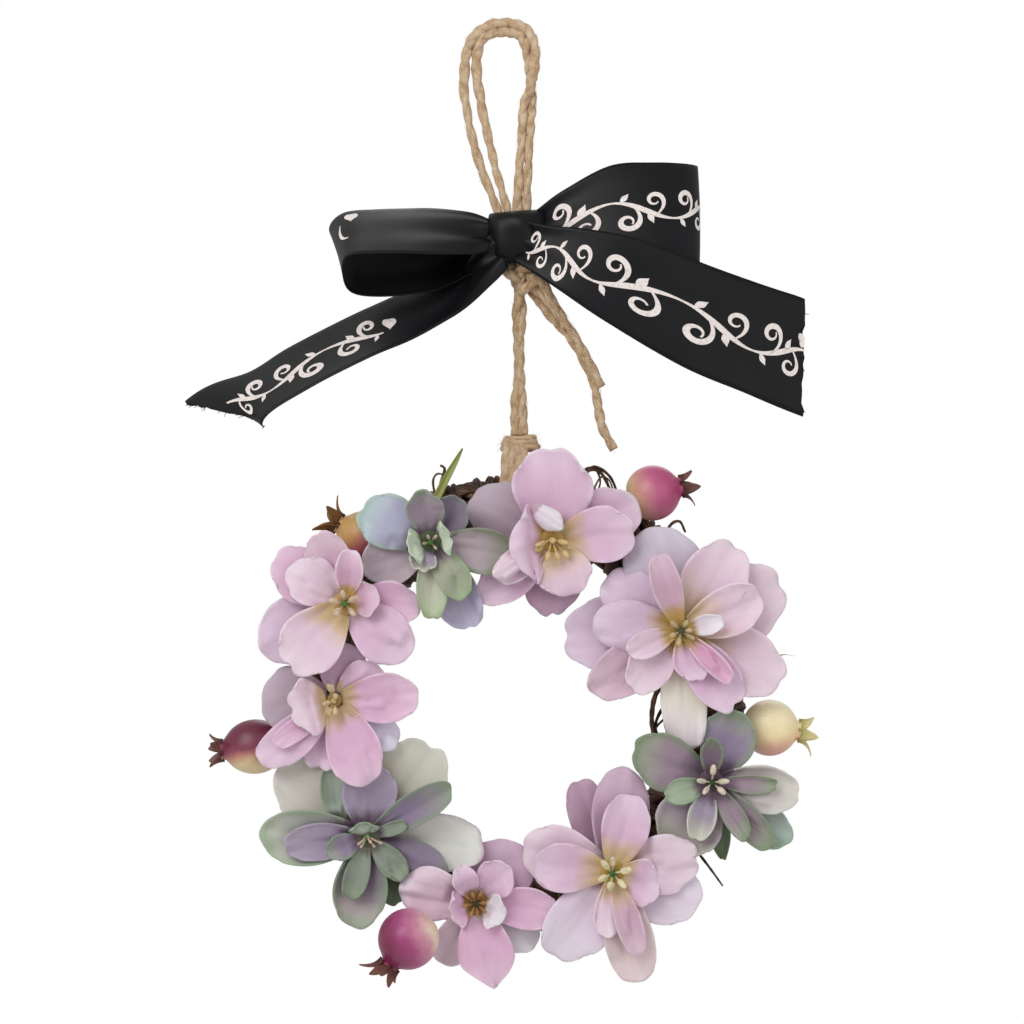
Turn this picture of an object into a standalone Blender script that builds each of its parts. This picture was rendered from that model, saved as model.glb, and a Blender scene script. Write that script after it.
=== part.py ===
# A small door wreath: a ring of twisted vine twigs that hangs from a doubled jute cord, dressed with nine
# fabric blooms and five berries, under a satin ribbon bow. Its front faces -Y, and +Z is up.
# The origin is where the hanging loop bears on its hook. Tables are in millimetres and degrees.
import math
import random

import bmesh
import bpy
from mathutils import Vector
from mathutils.bvhtree import BVHTree

MM = 0.001
GAP = 0.3  # between neighbouring pieces
FAR = 300.0  # a start for sight lines, well outside the wreath
FLAT_ANGLE = math.radians(4.0)  # faces of a union closer than this become one

# The vine ring
RING_X = 1.5
RING_Z = -159.8
RING_RADIUS = 46.4
RING_HALF_WIDTH = 8.4
RING_HALF_DEPTH = 7.5
RING_LOBES = 4
RING_TURNS = 8  # lobes passed in one trip round the ring
RING_RIDGE = 0.12
RING_STEPS = 45
RING_SIDES = 12

# Petals
PETAL_THICK = 0.7
PETAL_ROOT = 1.8  # where a petal starts, from its bloom's axis
ROOT_SHARE = 0.4  # width at the root as a share of the full width
WIDEST = 0.6  # where along its length a petal is widest
TIP_SHARE = 0.84  # width left at a round tip's last row
TIP_ROUND = 0.46  # how far a round tip's corners draw back, as a share of half the width
ARCH_SHARE = 0.06  # forward arch as a share of the reach
PETAL_ROWS = (0.0, 0.38, 0.77, 1.0)
LAY_STEPS = 8
LAY_CLEAR = 0.8  # room kept in front of what a petal lies over
LAY_CLOSE = 0.15  # the same over its own bloom's petals
LAY_LIMIT = 7.0
ROOT_HOLD = 0.25  # the part of a petal that stays at its root
OWN_HOLD = 0.55  # the same over its own bloom's petals

# Heart of a bloom: the core that its petals spring from, and the stamens on it
CORE_RADIUS = 2.9
CORE_BACK = 4.6  # behind the bloom's stand
CORE_FRONT = 0.6  # before its foremost petal's seat
CORE_ROUND = 0.9  # length of the core's two tapered ends
CORE_SIDES = 6
BASE_RADIUS = 1.9
BASE_HEIGHT = 0.9
BEAD_COUNT = 5
BEAD_SIDES = 4
BEAD_RADIUS = 1.1
FILAMENT_RADIUS = 0.4
BEAD_STEPS = [(0.9, 0.5, FILAMENT_RADIUS), (2.3, 1.4, FILAMENT_RADIUS), (3.0, 2.3, BEAD_RADIUS),
              (3.4, 3.1, BEAD_RADIUS * 0.7)]  # out from the axis, forward of the base, radius
BEAD_ROOM = 0.4  # cut from the petals round a bead
PISTIL_RADIUS = 0.75
PISTIL_LENGTH = 2.6
PISTIL_SIDES = 5
THROAT = [(2.25, 0.0), (1.9, 1.6), (1.2, 4.0)]  # radius and length of the hollow cut before the core

# The green cup and stalk behind a bloom
CALYX_RADIUS = 2.3
CALYX_RIM = 2.0
CALYX_HEIGHT = 0.5
STALK_RADIUS = 1.5

# Jute cord
JUTE_RADIUS = 1.2
JUTE_SIDES = 6

# Ribbon
RIBBON_THICK = 0.7
RIBBON_COLUMNS = 2

# The hanging loop's two strands, from the knot up the left side, over the hook and down the right
LOOP_OUTER = [
    (-2.3, 0.0, -53.9), (-2.3, 0.0, -47.0), (-2.35, 0.0, -42.8), (-6.5, 0.0, -32.5), (-9.4, 0.0, -22.5),
    (-10.9, 0.0, -13.0), (-10.6, 0.0, -4.5), (-8.2, 0.0, 0.8), (-3.0, 0.0, 3.4), (2.2, 0.0, 3.1),
    (5.6, -0.3, -0.6), (5.9, -1.2, -6.5), (5.0, -1.1, -11.5), (3.3, 0.0, -16.5), (2.8, 0.0, -25.0),
    (2.0, 0.0, -35.0), (1.8, 0.0, -46.0), (1.8, 0.0, -53.9),
]
LOOP_INNER = [
    (-0.2, 0.0, -53.9), (-0.2, 0.0, -47.0), (-0.6, 0.0, -41.5), (-3.2, 0.0, -32.5), (-5.2, 0.0, -24.0),
    (-6.6, 0.0, -15.5), (-7.6, 0.0, -7.5), (-6.6, 0.0, -1.6), (-3.6, 0.0, 0.9), (0.0, 0.0, 1.3),
    (2.4, 0.2, 0.0), (4.2, 0.8, -4.5), (5.0, 1.2, -9.5), (5.3, 0.6, -15.5), (5.1, 0.0, -21.0),
    (4.6, 0.0, -30.0), (4.0, 0.0, -40.0), (3.9, 0.0, -47.0), (3.9, 0.0, -53.9),
]
LOOP_STEPS = 28

# The jute knot under the bow, and the stem down to the ring
KNOT_X = 2.9
KNOT_Z = -57.15
KNOT_WIDE = 4.0
KNOT_TALL = 2.4
KNOT_DEEP = 1.9
KNOT_STEPS = 24
STEM_TOP = (2.2, -57.4)
STEM_FOOT = (2.2, -95.3)
STEM_TURNS = [150, 130, 90, 60, 10, 0]  # the strands' turn about each other, from the top down
STEM_APART = 1.35
STEM_STEPS = 10

# The binding: turns of jute over the top of the ring, drawn up to a peak that a collar ties off
BINDING_TURNS = 4
BINDING_PITCH = 2.3
BINDING_MIDDLE = 2.2
BINDING_VALLEY = 0.5  # how far the grooves between turns stand out
BINDING_HIGH = 10.1
BINDING_DEEP = 9.2
BINDING_PEAK = 6.6
BINDING_GATHER = 0.2
BINDING_STEPS = 12
COLLAR_WIDE = 4.3
COLLAR_DEEP = 2.9
COLLAR_Z = -97.0
COLLAR_TILT = 0.5
COLLAR_STEPS = 11

# The two free tails, from the knot down to the right
TAIL_SHORT = [(5.0, -4.6, -57.2), (7.6, -4.3, -59.0), (9.8, -3.0, -62.6), (12.6, -2.0, -67.2),
              (16.2, -1.8, -72.8), (19.2, -1.8, -78.4), (21.9, -1.8, -83.7)]
TAIL_LONG = [(5.2, 0.9, -60.6), (7.4, 1.2, -63.6), (10.6, 1.3, -67.8), (14.6, 1.3, -72.0), (18.0, 1.3, -77.6),
             (20.4, 1.2, -84.0), (21.3, 1.0, -89.2), (22.4, 0.8, -94.0), (25.0, 0.6, -98.6)]
TAIL_STEPS = 16

# The ribbon: each part's stations are x, y, z of its middle, its width, the slant of its width direction from
# +X towards +Z, and how far that direction leans to the viewer
RIBBON_PARTS = [
    ("left_loop", [
        (-4.6, -2.2, -47.4, 9, -90, 25), (-12.0, -3.4, -46.6, 17, -90, 48), (-22.0, -4.2, -46.2, 25, -90, 60),
        (-32.0, -4.2, -46.4, 26, -90, 62), (-40.0, -3.4, -47.6, 26, -90, 62), (-43.4, -1.6, -51.4, 26, -90, 62),
        (-40.0, 0.6, -55.4, 26, -90, 62), (-30.0, 1.4, -56.4, 26, -90, 62), (-20.0, 1.0, -55.2, 25, -90, 58),
        (-12.0, 0.4, -52.4, 17, -90, 40), (-4.6, 0.0, -50.0, 9, -90, 20)], 13),
    ("right_loop", [
        (6.4, -2.0, -47.0, 11, -95, 0), (13.0, -6.0, -45.2, 17, -92, 12), (24.0, -8.0, -42.6, 24, -90, 18),
        (34.0, -8.0, -42.0, 25, -90, 20), (42.0, -6.0, -42.0, 25, -90, 20), (45.4, -1.5, -42.4, 25, -90, 20),
        (42.0, 3.5, -43.0, 25, -90, 20), (32.0, 5.0, -44.0, 25, -90, 20), (20.0, 4.2, -45.4, 22, -90, 16),
        (12.0, 3.0, -46.6, 16, -90, 10), (6.4, 1.2, -47.6, 11, -90, 0)], 13),
    ("right_tail", [
        (3.0, -5.6, -49.4, 10, -106, 0), (8.0, -8.8, -51.6, 12, -108, 0), (15.0, -11.8, -54.2, 16, -110, 0),
        (26.4, -13.2, -59.0, 21, -111, 0), (45.6, -12.0, -68.0, 25, -111, 6), (60.0, -9.0, -73.4, 26, -106, 4),
        (70.2, -7.0, -77.2, 28, -91, 0)], 9),
    ("left_tail", [
        (-2.5, -4.4, -51.2, 9, -62, 10), (-7.6, -4.0, -55.6, 13, -58, 40), (-16.8, -4.4, -62.4, 22, -56, 58),
        (-26.4, -5.6, -67.8, 25, -58, 60), (-36.0, -6.4, -72.4, 26, -60, 62), (-50.4, -5.4, -79.6, 26, -60, 62),
        (-61.4, -4.4, -86.0, 26, -58, 60), (-68.4, -4.2, -90.0, 26, -12, 32)], 11),
]
BAND_X = 0.85
BAND_Z = -48.0
BAND_TALL = 6.0
BAND_SIDES = 12
BAND_IN = (5.2, 2.1, 2.1)  # half width, half depth behind and before
BAND_OUT = ((5.8, 3.0, 4.6), (6.8, 3.6, 6.4), (6.9, 3.6, 6.6))

# The blade of grass, from the ring up
GRASS = [(-17.6, -5.6, -110.6), (-15.2, -5.6, -105.8), (-13.0, -5.4, -101.8), (-11.3, -5.0, -98.6)]
GRASS_WIDTH = 1.3
GRASS_SLANT = 0.5
GRASS_STEPS = 5

# Blooms, named by the clock. The centre is across and up from the origin, the stand is how far in front of
# the ring's middle plane the heart lies. Each petal is:
# direction, reach, width, seat, rise, cup, roll, bend, point
# direction is in degrees from +X towards +Z, seat and rise are forward of the stand at the root and at the
# tip, cup brings both edges forward, roll the left edge, bend moves the tip sideways, point 1 is a sharp tip.
BLOOMS = {
    "bloom_at_12": {
        "centre": (9.9, -120.4), "stand": 16.0, "kind": "pink",
        "petals": [
            (150, 21.7, 15.0, -2.5, 0.0, -1.0, 0.0, 0.0, 0.0),
            (88, 21.7, 19.3, -0.6, 2.5, 1.4, 0.0, 0.0, 0.0),
            (20, 22.0, 15.0, -1.6, 1.2, 1.0, 0.0, 0.0, 0.0),
            (8, 20.0, 13.5, 0.2, 2.5, 1.5, 0.0, 0.0, 0.0),
            (-69, 14.0, 13.0, 1.0, 3.0, 1.5, 0.0, 0.0, 0.0),
            (-87, 18.4, 13.5, -2.2, 0.0, 1.0, 0.0, 0.0, 0.3),
            (188, 8.2, 19.0, 0.4, 7.5, 1.0, 0.0, 0.0, 0.0),
            (221, 21.7, 11.0, -1.4, 1.0, 1.5, 0.0, 0.0, 0.1),
            (213, 16.0, 7.5, 0.6, 3.0, 2.0, 0.0, 0.0, 0.0),
            (100, 9.0, 8.5, 1.6, 4.5, 1.2, 1.2, 0.0, 0.2),
        ],
    },
    "bloom_at_11": {
        "centre": (-18.6, -120.8), "stand": 17.0, "kind": "green",
        "petals": [
            (154, 18.6, 13.2, -0.5, 1.0, -0.8, 0.0, 0.0, 0.0),
            (85, 11.3, 14.6, 0.0, 4.0, 2.0, 0.0, 0.0, 0.1),
            (-10, 21.0, 10.8, 0.2, 1.5, 1.2, 0.0, 0.0, 0.1),
            (203, 17.5, 12.5, -2.6, -0.5, 0.8, 0.0, 0.0, 0.1),
            (-88, 17.9, 7.3, 0.6, 2.0, 1.8, 0.0, 0.0, 0.1),
            (-56, 15.6, 8.0, 0.9, 2.5, 1.8, 0.0, 0.0, 0.1),
            (-66, 22.6, 11.3, -1.8, 0.0, 0.6, 0.0, 0.0, 0.0),
            (200, 5.4, 9.4, 1.0, 5.0, 0.6, 0.0, 0.0, 0.2),
            (5, 4.8, 9.0, 1.0, 5.0, 0.6, 0.0, 0.0, 0.2),
            (-110, 7.2, 6.6, 1.6, 2.5, 0.8, 0.0, 0.0, 0.0),
        ],
    },
    "bloom_at_10": {
        "centre": (-38.7, -135.2), "stand": 17.5, "kind": "pink",
        "petals": [
            (110, 18.2, 10.6, -0.6, 2.0, 1.8, 0.0, 0.0, 0.1),
            (148, 20.0, 13.2, -1.8, 0.5, 1.0, 0.0, 0.0, 0.0),
            (145, 15.6, 11.8, 0.2, 1.8, 1.5, 0.0, 0.0, 0.0),
            (-2, 17.5, 11.5, -0.4, 1.5, 1.2, 0.0, 0.0, 0.2),
            (229, 20.4, 15.0, 0.6, 2.4, 1.5, 0.0, 0.0, 0.0),
            (-39, 19.6, 13.2, 0.0, 1.5, 1.0, 0.0, 0.0, 0.0),
            (205, 23.1, 15.6, -2.8, -1.0, 0.5, 0.0, 0.0, 0.0),
            (80, 11.8, 6.6, 1.2, 4.5, 2.0, 0.0, 0.0, 0.0),
            (10, 7.5, 8.5, 1.2, 4.0, 1.0, 0.0, 0.0, 0.0),
        ],
    },
    "bloom_at_9": {
        "centre": (-41.3, -158.0), "stand": 16.5, "kind": "pink",
        "petals": [
            (0, 19.8, 9.9, 0.0, 1.5, 1.4, 0.0, 0.0, 0.0),
            (-33, 17.9, 9.4, -1.8, 0.0, 0.6, 0.0, 0.0, 0.0),
            (-71, 21.9, 11.8, 0.4, 2.0, 1.6, 0.0, 0.0, 0.0),
            (195, 9.4, 14.0, 0.6, 7.0, 1.0, 0.0, 0.0, 0.0),
            (223, 22.9, 9.9, -0.6, 1.5, 1.4, 0.0, 0.0, 0.0),
            (218, 17.2, 5.2, 1.0, 2.5, 1.2, 0.0, 0.0, 0.0),
            (184, 18.0, 17.5, -3.0, -1.0, 0.5, 0.0, 0.0, 0.0),
            (75, 13.7, 12.3, -1.4, 1.0, 1.0, 0.0, 0.0, 0.0),
        ],
    },
    "bloom_at_8": {
        "centre": (-33.5, -190.2), "stand": 15.5, "kind": "green",
        "petals": [
            (139, 26.0, 17.5, -2.4, -0.5, 0.8, 0.0, 0.0, 0.0),
            (53, 27.0, 18.0, -2.6, -0.5, 1.0, 0.0, 0.0, 0.0),
            (-4, 27.8, 13.7, -1.6, 0.5, 1.0, 0.0, 0.0, 0.0),
            (180, 25.0, 12.7, -0.4, 1.5, 2.0, 0.0, 0.0, 0.0),
            (114, 18.9, 4.6, 0.2, 1.8, 1.4, 0.0, 0.0, 0.1),
            (90, 18.4, 12.7, -0.8, 0.5, 1.0, 0.0, 0.0, 0.0),
            (32, 22.9, 6.1, 0.4, 2.5, 2.0, 0.0, 0.0, 0.1),
            (-97, 21.0, 11.8, 0.0, 1.5, 2.4, 0.0, 0.0, 0.0),
            (-45, 13.0, 6.2, 1.0, 2.0, 1.2, 0.0, 0.0, 0.0),
            (-66, 17.2, 8.5, -1.2, 0.5, 0.8, 0.0, 0.0, 0.1),
            (-30, 21.5, 11.0, -0.6, 0.8, 1.0, 0.0, 0.0, 0.1),
            (200, 9.9, 6.1, 1.2, 2.5, 1.0, 0.0, 0.0, 0.0),
            (-105, 14.0, 4.7, 1.4, 2.0, 1.0, 0.0, 0.0, 0.0),
        ],
    },
    "bloom_at_6": {
        "centre": (-8.0, -205.7), "stand": 16.0, "kind": "pink",
        "petals": [
            (168, 18.5, 13.5, -0.8, 1.0, 1.0, 0.0, 0.0, 0.1),
            (54, 17.0, 16.0, -2.2, 0.0, 0.8, 0.0, 0.0, 0.0),
            (50, 12.0, 9.4, 0.0, 1.5, 1.2, 0.0, 0.0, 0.0),
            (-5, 19.8, 9.9, -0.6, 1.0, 1.2, 0.0, 0.0, 0.1),
            (-82, 19.3, 11.8, 0.2, 1.5, 1.2, 0.0, 0.0, 0.75),
            (-117, 16.5, 9.9, -0.6, 1.0, 1.0, 0.0, 0.0, 0.0),
            (-38, 18.0, 10.0, -2.4, -0.6, 0.5, 0.0, 0.0, 0.1),
            (115, 9.0, 6.1, 1.2, 4.5, 1.2, 0.0, 0.0, 0.0),
            (-20, 6.4, 8.5, 1.0, 4.5, 0.8, 0.0, 0.0, 0.1),
            (195, 6.6, 9.0, 1.0, 3.0, 0.8, 0.0, 0.0, 0.1),
        ],
    },
    "bloom_at_5": {
        "centre": (24.1, -198.6), "stand": 16.5, "kind": "pink",
        "petals": [
            (166, 22.2, 15.6, -1.4, 1.0, 1.4, 0.0, 0.0, 0.0),
            (172, 19.0, 11.8, 0.4, 2.0, 1.6, 0.0, 0.0, 0.0),
            (82, 24.5, 13.7, -2.0, 0.0, 1.2, 0.0, 0.0, 0.0),
            (74, 19.4, 11.3, 0.0, 1.5, 1.6, 0.0, 0.0, 0.0),
            (111, 22.6, 10.4, -3.2, -1.0, 0.5, 0.0, 0.0, 0.0),
            (-12, 22.9, 17.0, -1.0, 1.0, 1.2, 0.0, 0.0, 0.0),
            (-122, 24.3, 15.5, -0.6, 1.0, 1.4, 0.0, 0.0, 0.0),
            (-97, 14.9, 6.6, 0.8, 2.0, 1.4, 0.0, 0.0, 0.0),
            (-76, 26.9, 11.8, -0.4, 1.0, 1.6, 0.0, 0.0, 0.0),
            (-72, 19.6, 6.2, 1.2, 3.0, 1.8, 0.0, 0.0, 0.1),
            (-15, 11.8, 11.4, 0.8, 2.0, 1.4, 0.0, 0.0, 0.0),
        ],
    },
    "bloom_at_4": {
        "centre": (47.4, -177.2), "stand": 17.0, "kind": "green",
        "petals": [
            (68, 18.2, 13.2, -1.8, 0.0, 1.0, 0.0, 0.0, 0.0),
            (159, 20.0, 13.5, -1.4, 0.5, 1.4, 0.0, 0.0, 0.0),
            (-7, 20.5, 11.3, -0.6, 1.0, 1.2, 0.0, 0.0, 0.0),
            (-3, 15.3, 4.4, 0.8, 1.6, 1.0, 0.0, 0.0, 0.2),
            (-39, 22.9, 10.4, -1.6, 0.4, 1.0, 0.0, 0.0, 0.0),
            (-57, 15.6, 5.3, 0.8, 2.2, 1.6, 0.0, 0.0, 0.2),
            (-47, 20.6, 7.0, 0.0, 1.5, 1.8, 0.0, 0.0, 0.1),
            (-116, 18.9, 14.5, -0.8, 0.8, 1.0, 0.0, 0.0, 0.0),
            (-82, 18.9, 5.4, -2.6, -0.4, 0.6, 0.0, 0.0, 0.8),
            (196, 11.8, 6.1, 0.8, 3.0, 1.2, 0.0, 0.0, 0.3),
            (92, 10.6, 5.4, 0.8, 3.0, 1.4, 0.0, 0.0, 0.5),
            (-108, 13.7, 6.7, 1.0, 2.0, 1.4, 0.0, 0.0, 0.0),
        ],
    },
    "bloom_at_2": {
        "centre": (40.1, -141.6), "stand": 17.5, "kind": "pink",
        "petals": [
            (183, 28.0, 18.0, -3.0, -1.5, 0.8, 0.0, 0.0, 0.0),
            (174, 21.2, 10.9, 0.0, 1.0, -0.8, 0.0, 0.0, 0.0),
            (148, 22.0, 13.5, -1.4, 0.0, -0.8, 0.0, 0.0, 0.0),
            (215, 25.2, 12.3, -2.2, -0.5, 0.8, 0.0, 0.0, 0.0),
            (227, 17.9, 10.6, -0.4, 1.0, 1.2, 0.0, 0.0, 0.0),
            (200, 13.7, 6.4, 1.2, 2.0, 1.0, 0.0, 0.0, 0.0),
            (103, 25.5, 19.0, -2.8, -1.0, 0.6, 0.0, 0.0, 0.0),
            (57, 24.0, 14.6, -0.8, 1.5, 1.6, 0.0, 0.0, 0.0),
            (24, 26.4, 19.8, -2.6, -0.5, 0.8, 0.0, 0.0, 0.0),
            (22, 20.8, 11.8, 0.2, 1.8, 1.6, 0.0, 0.0, 0.0),
            (-23, 26.6, 14.2, -1.6, 0.5, 1.2, 0.0, 0.0, 0.0),
            (-55, 22.4, 11.8, -0.2, 1.2, 1.4, 0.0, 0.0, 0.0),
            (-88, 28.0, 10.9, -1.8, 0.0, 1.0, 0.0, 0.0, 0.0),
            (-75, 12.3, 8.0, 1.0, 2.0, 1.4, 0.0, 0.0, 0.0),
            (109, 17.9, 7.0, 1.0, 4.5, 2.2, 0.0, 0.0, 0.0),
            (15, 9.0, 4.8, 1.8, 5.0, 1.0, 0.0, 0.0, 0.1),
            (-45, 16.5, 4.8, 1.4, 3.0, 2.0, 0.0, 0.0, 0.1),
        ],
    },
}

# Berries: centre across and up, forward of the ring's middle plane, radius, length share, and the direction
# its crown points to. A berry with no forward value of its own is laid over the petals behind it.
BERRIES = {
    "berry_at_1": {"centre": (34.0, -109.2), "forward": 6.0, "radius": 6.6, "long": 1.0, "crown": 12},
    "berry_at_10": {"centre": (-34.8, -119.8), "forward": 10.0, "radius": 6.2, "long": 1.0, "crown": 150},
    "berry_at_9": {"centre": (-60.8, -169.6), "forward": 6.0, "radius": 6.5, "long": 1.15, "crown": 186},
    "berry_at_7": {"centre": (-23.6, -213.4), "forward": None, "radius": 7.1, "long": 1.02, "crown": 233},
    "berry_at_3": {"centre": (61.8, -165.1), "forward": 7.2, "radius": 6.7, "long": 1.0, "crown": -6},
}
BERRY_RINGS = 5
BERRY_SIDES = 10
BERRY_STALK = 0.8  # radius of the stalk that carries it on the ring
STALK_SIDES = 5
STALK_SUNK = 0.6  # how far towards its end the stalk starts inside the berry
BERRY_FLAT = 0.06  # share of the half turn left flat at each end
REST_STEPS = 6  # looks taken either way under a berry that rests on petals
CROWN_SEPALS = 5
CROWN_COLLAR = [(1.5, 0.0), (1.2, 1.4)]  # radius and height
SEPAL_LENGTH = 5.2
SEPAL_WIDTH = 1.5
SEPAL_THICK = 0.7
SEPAL_TAPER = (1.0, 0.85, 0.3)  # width shares from root to tip
SEPAL_LENGTHS = (0.75, 1.15)  # least and most share of the length
SEPAL_SPREADS = (0.35, 0.8)  # least and most lean away from the axis


def rgb(text):
    """Linear colour from an sRGB hex text."""
    parts = [int(text[i:i + 2], 16) / 255 for i in (0, 2, 4)]
    return [p / 12.92 if p <= 0.04045 else ((p + 0.055) / 1.055) ** 2.4 for p in parts] + [1.0]


def plain_material(name, colour, roughness):
    material = bpy.data.materials.new(name)
    material.use_nodes = True
    shader = material.node_tree.nodes["Principled BSDF"]
    shader.inputs["Base Color"].default_value = rgb(colour)
    shader.inputs["Roughness"].default_value = roughness
    shader.inputs["Metallic"].default_value = 0.0
    return material


def mesh_object(name, points, faces, material):
    """A named object from points in millimetres."""
    mesh = bpy.data.meshes.new(name)
    mesh.from_pydata([Vector(p) * MM for p in points], [], faces)
    mesh.update()
    shape = bmesh.new()
    shape.from_mesh(mesh)
    bmesh.ops.recalc_face_normals(shape, faces=shape.faces)
    shape.to_mesh(mesh)
    shape.free()
    mesh.shade_smooth()
    mesh.materials.append(material)
    item = bpy.data.objects.new(name, mesh)
    bpy.context.scene.collection.objects.link(item)
    return item


def largest_body(mesh):
    """Drop the loose scraps that a union can leave."""
    shape = bmesh.new()
    shape.from_mesh(mesh)
    left = set(shape.faces)
    bodies = []
    while left:
        body = set()
        front = [left.pop()]
        while front:
            face = front.pop()
            body.add(face)
            for edge in face.edges:
                for other in edge.link_faces:
                    if other in left and len(edge.link_faces) == 2:
                        left.remove(other)
                        front.append(other)
        bodies.append(body)
    keep = max(bodies, key=len)
    scraps = [face for face in shape.faces if face not in keep]
    bmesh.ops.delete(shape, geom=scraps, context="FACES")
    bmesh.ops.dissolve_limit(shape, angle_limit=FLAT_ANGLE, verts=shape.verts, edges=shape.edges)
    bmesh.ops.triangulate(shape, faces=shape.faces)
    shape.to_mesh(mesh)
    shape.free()


def boolean(target, others, operation):
    """One Boolean of the target with all the others, applied; the others go."""
    group = bpy.data.collections.new(target.name + "_" + operation.lower())
    bpy.context.scene.collection.children.link(group)
    for other in others:
        bpy.context.scene.collection.objects.unlink(other)
        group.objects.link(other)
    step = target.modifiers.new("join", "BOOLEAN")
    step.operation = operation
    step.operand_type = "COLLECTION"
    step.collection = group
    step.solver = "EXACT"
    seen = bpy.context.evaluated_depsgraph_get()
    mesh = bpy.data.meshes.new_from_object(target.evaluated_get(seen), depsgraph=seen)
    target.modifiers.clear()
    target.data = mesh
    mesh.name = target.name
    for other in others:
        bpy.data.objects.remove(other)
    bpy.data.collections.remove(group)
    largest_body(target.data)
    return target


def tube(path, radius, sides, closed=False):
    """Points and faces of a tube along a path; radius is a number or one for each point."""
    count = len(path)
    path = [Vector(p) for p in path]
    radii = radius if isinstance(radius, list) else [radius] * count
    points = []
    side = None
    for i, spot in enumerate(path):
        before = path[i - 1] if closed or i else path[0]
        after = path[(i + 1) % count] if closed or i < count - 1 else path[-1]
        along = (after - before).normalized()
        if side is None:
            start = Vector((0, 1, 0)) if abs(along.y) < 0.9 else Vector((1, 0, 0))
            side = start.cross(along).normalized()
        side = (side - along * side.dot(along)).normalized()
        other = along.cross(side)
        for k in range(sides):
            turn = 2 * math.pi * k / sides
            points.append(spot + (side * math.cos(turn) + other * math.sin(turn)) * radii[i])
    faces = []
    for i in range(count if closed else count - 1):
        here, there = i * sides, ((i + 1) % count) * sides
        for k in range(sides):
            k2 = (k + 1) % sides
            faces.append((here + k, here + k2, there + k2, there + k))
    if not closed:
        faces.append(tuple(range(sides))[::-1])
        faces.append(tuple(range((count - 1) * sides, count * sides)))
    return points, faces


def turned(profile, sides, place):
    """A turned solid: profile of (radius, height) from bottom to top, set by place(x, y, height)."""
    points, faces = [], []
    for radius, height in profile:
        for k in range(sides):
            turn = 2 * math.pi * k / sides
            points.append(place(radius * math.cos(turn), radius * math.sin(turn), height))
    for i in range(len(profile) - 1):
        for k in range(sides):
            k2 = (k + 1) % sides
            faces.append((i * sides + k, i * sides + k2, (i + 1) * sides + k2, (i + 1) * sides + k))
    faces.append(tuple(range(sides))[::-1])
    faces.append(tuple(range((len(profile) - 1) * sides, len(profile) * sides)))
    return points, faces


def smooth_path(points, count):
    """A Catmull-Rom curve through the points, read at an even count."""
    points = [Vector(p) for p in points]
    ends = [points[0] * 2 - points[1]] + points + [points[-1] * 2 - points[-2]]
    path = []
    for i in range(count):
        place = i / (count - 1) * (len(points) - 1)
        part = min(int(place), len(points) - 2)
        t = place - part
        a, b, c, d = ends[part:part + 4]
        path.append(0.5 * (2 * b + (c - a) * t + (2 * a - 5 * b + 4 * c - d) * t * t
                           + (3 * b - a - 3 * c + d) * t ** 3))
    return path


def thick_sheet(grid, thick):
    """Points and faces of a closed sheet on a grid of points, split alike on both faces."""
    rows, columns = len(grid), len(grid[0])
    front, back = [], []
    for i in range(rows):
        for j in range(columns):
            down = Vector(grid[min(i + 1, rows - 1)][j]) - Vector(grid[max(i - 1, 0)][j])
            across = Vector(grid[i][min(j + 1, columns - 1)]) - Vector(grid[i][max(j - 1, 0)])
            normal = down.cross(across).normalized()
            front.append(Vector(grid[i][j]) + normal * thick / 2)
            back.append(Vector(grid[i][j]) - normal * thick / 2)
    lift = rows * columns
    faces = []
    for i in range(rows - 1):
        for j in range(columns - 1):
            a, b = i * columns + j, i * columns + j + 1
            c, d = a + columns, b + columns
            if (j < columns / 2 - 0.5) == (i < rows * WIDEST):
                halves = ((a, b, d), (a, d, c))
            else:
                halves = ((a, b, c), (b, d, c))
            for half in halves:
                faces.append(half)
                faces.append(tuple(k + lift for k in reversed(half)))
    rim = [j for j in range(columns)]
    rim += [i * columns + columns - 1 for i in range(1, rows)]
    rim += [(rows - 1) * columns + j for j in range(columns - 2, -1, -1)]
    rim += [i * columns for i in range(rows - 2, 0, -1)]
    for i, a in enumerate(rim):
        b = rim[(i + 1) % len(rim)]
        faces.append((b, a, a + lift))
        faces.append((b, a + lift, b + lift))
    return front + back, faces


def width_share(u, point):
    """How wide a petal is at u, from its narrow root to its tip."""
    if u < WIDEST:
        return ROOT_SHARE + (1 - ROOT_SHARE) * math.sin(math.pi / 2 * u / WIDEST)
    tip = TIP_SHARE * (1 - point) + 0.06 * point
    return tip + (1 - tip) * math.cos(math.pi / 2 * (u - WIDEST) / (1 - WIDEST))


def petal_point(bloom, petal, u, v):
    """The middle of a petal's thickness, u along it and v from edge to edge."""
    direction, reach, width, seat, rise, cup, roll, bend, point = petal
    share = width_share(u, point)
    pull = TIP_ROUND * width / 2 * (1 - point) * u ** 3 * v * v
    along = PETAL_ROOT + (reach - PETAL_ROOT) * u - pull
    side = width / 2 * share * v + bend * u * u
    forward = seat + rise * u ** 1.4 + ARCH_SHARE * reach * math.sin(math.pi * u)
    forward += share * (cup * v * v + roll * v)
    turn = math.radians(direction)
    x = bloom["centre"][0] + along * math.cos(turn) - side * math.sin(turn)
    z = bloom["centre"][1] + along * math.sin(turn) + side * math.cos(turn)
    return Vector((x, -bloom["stand"] - forward, z))


def petal_columns(petal):
    width = petal[2]
    return 2 if width < 9 else 3 if width < 15 else 4


class Layers:
    """What has been laid so far, by owner, to find how far forward the next petal must lie."""

    def __init__(self):
        self.sheets = []

    def add(self, owner, points, faces):
        self.sheets.append((owner, points, faces))

    def tree(self, owner, own):
        """Everything of one owner, or everything but that."""
        points, faces = [], []
        for name, some, parts in self.sheets:
            if (name == owner) == own:
                faces += [tuple(k + len(points) for k in part) for part in parts]
                points += some
        return BVHTree.FromPolygons(points, faces) if faces else None


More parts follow.
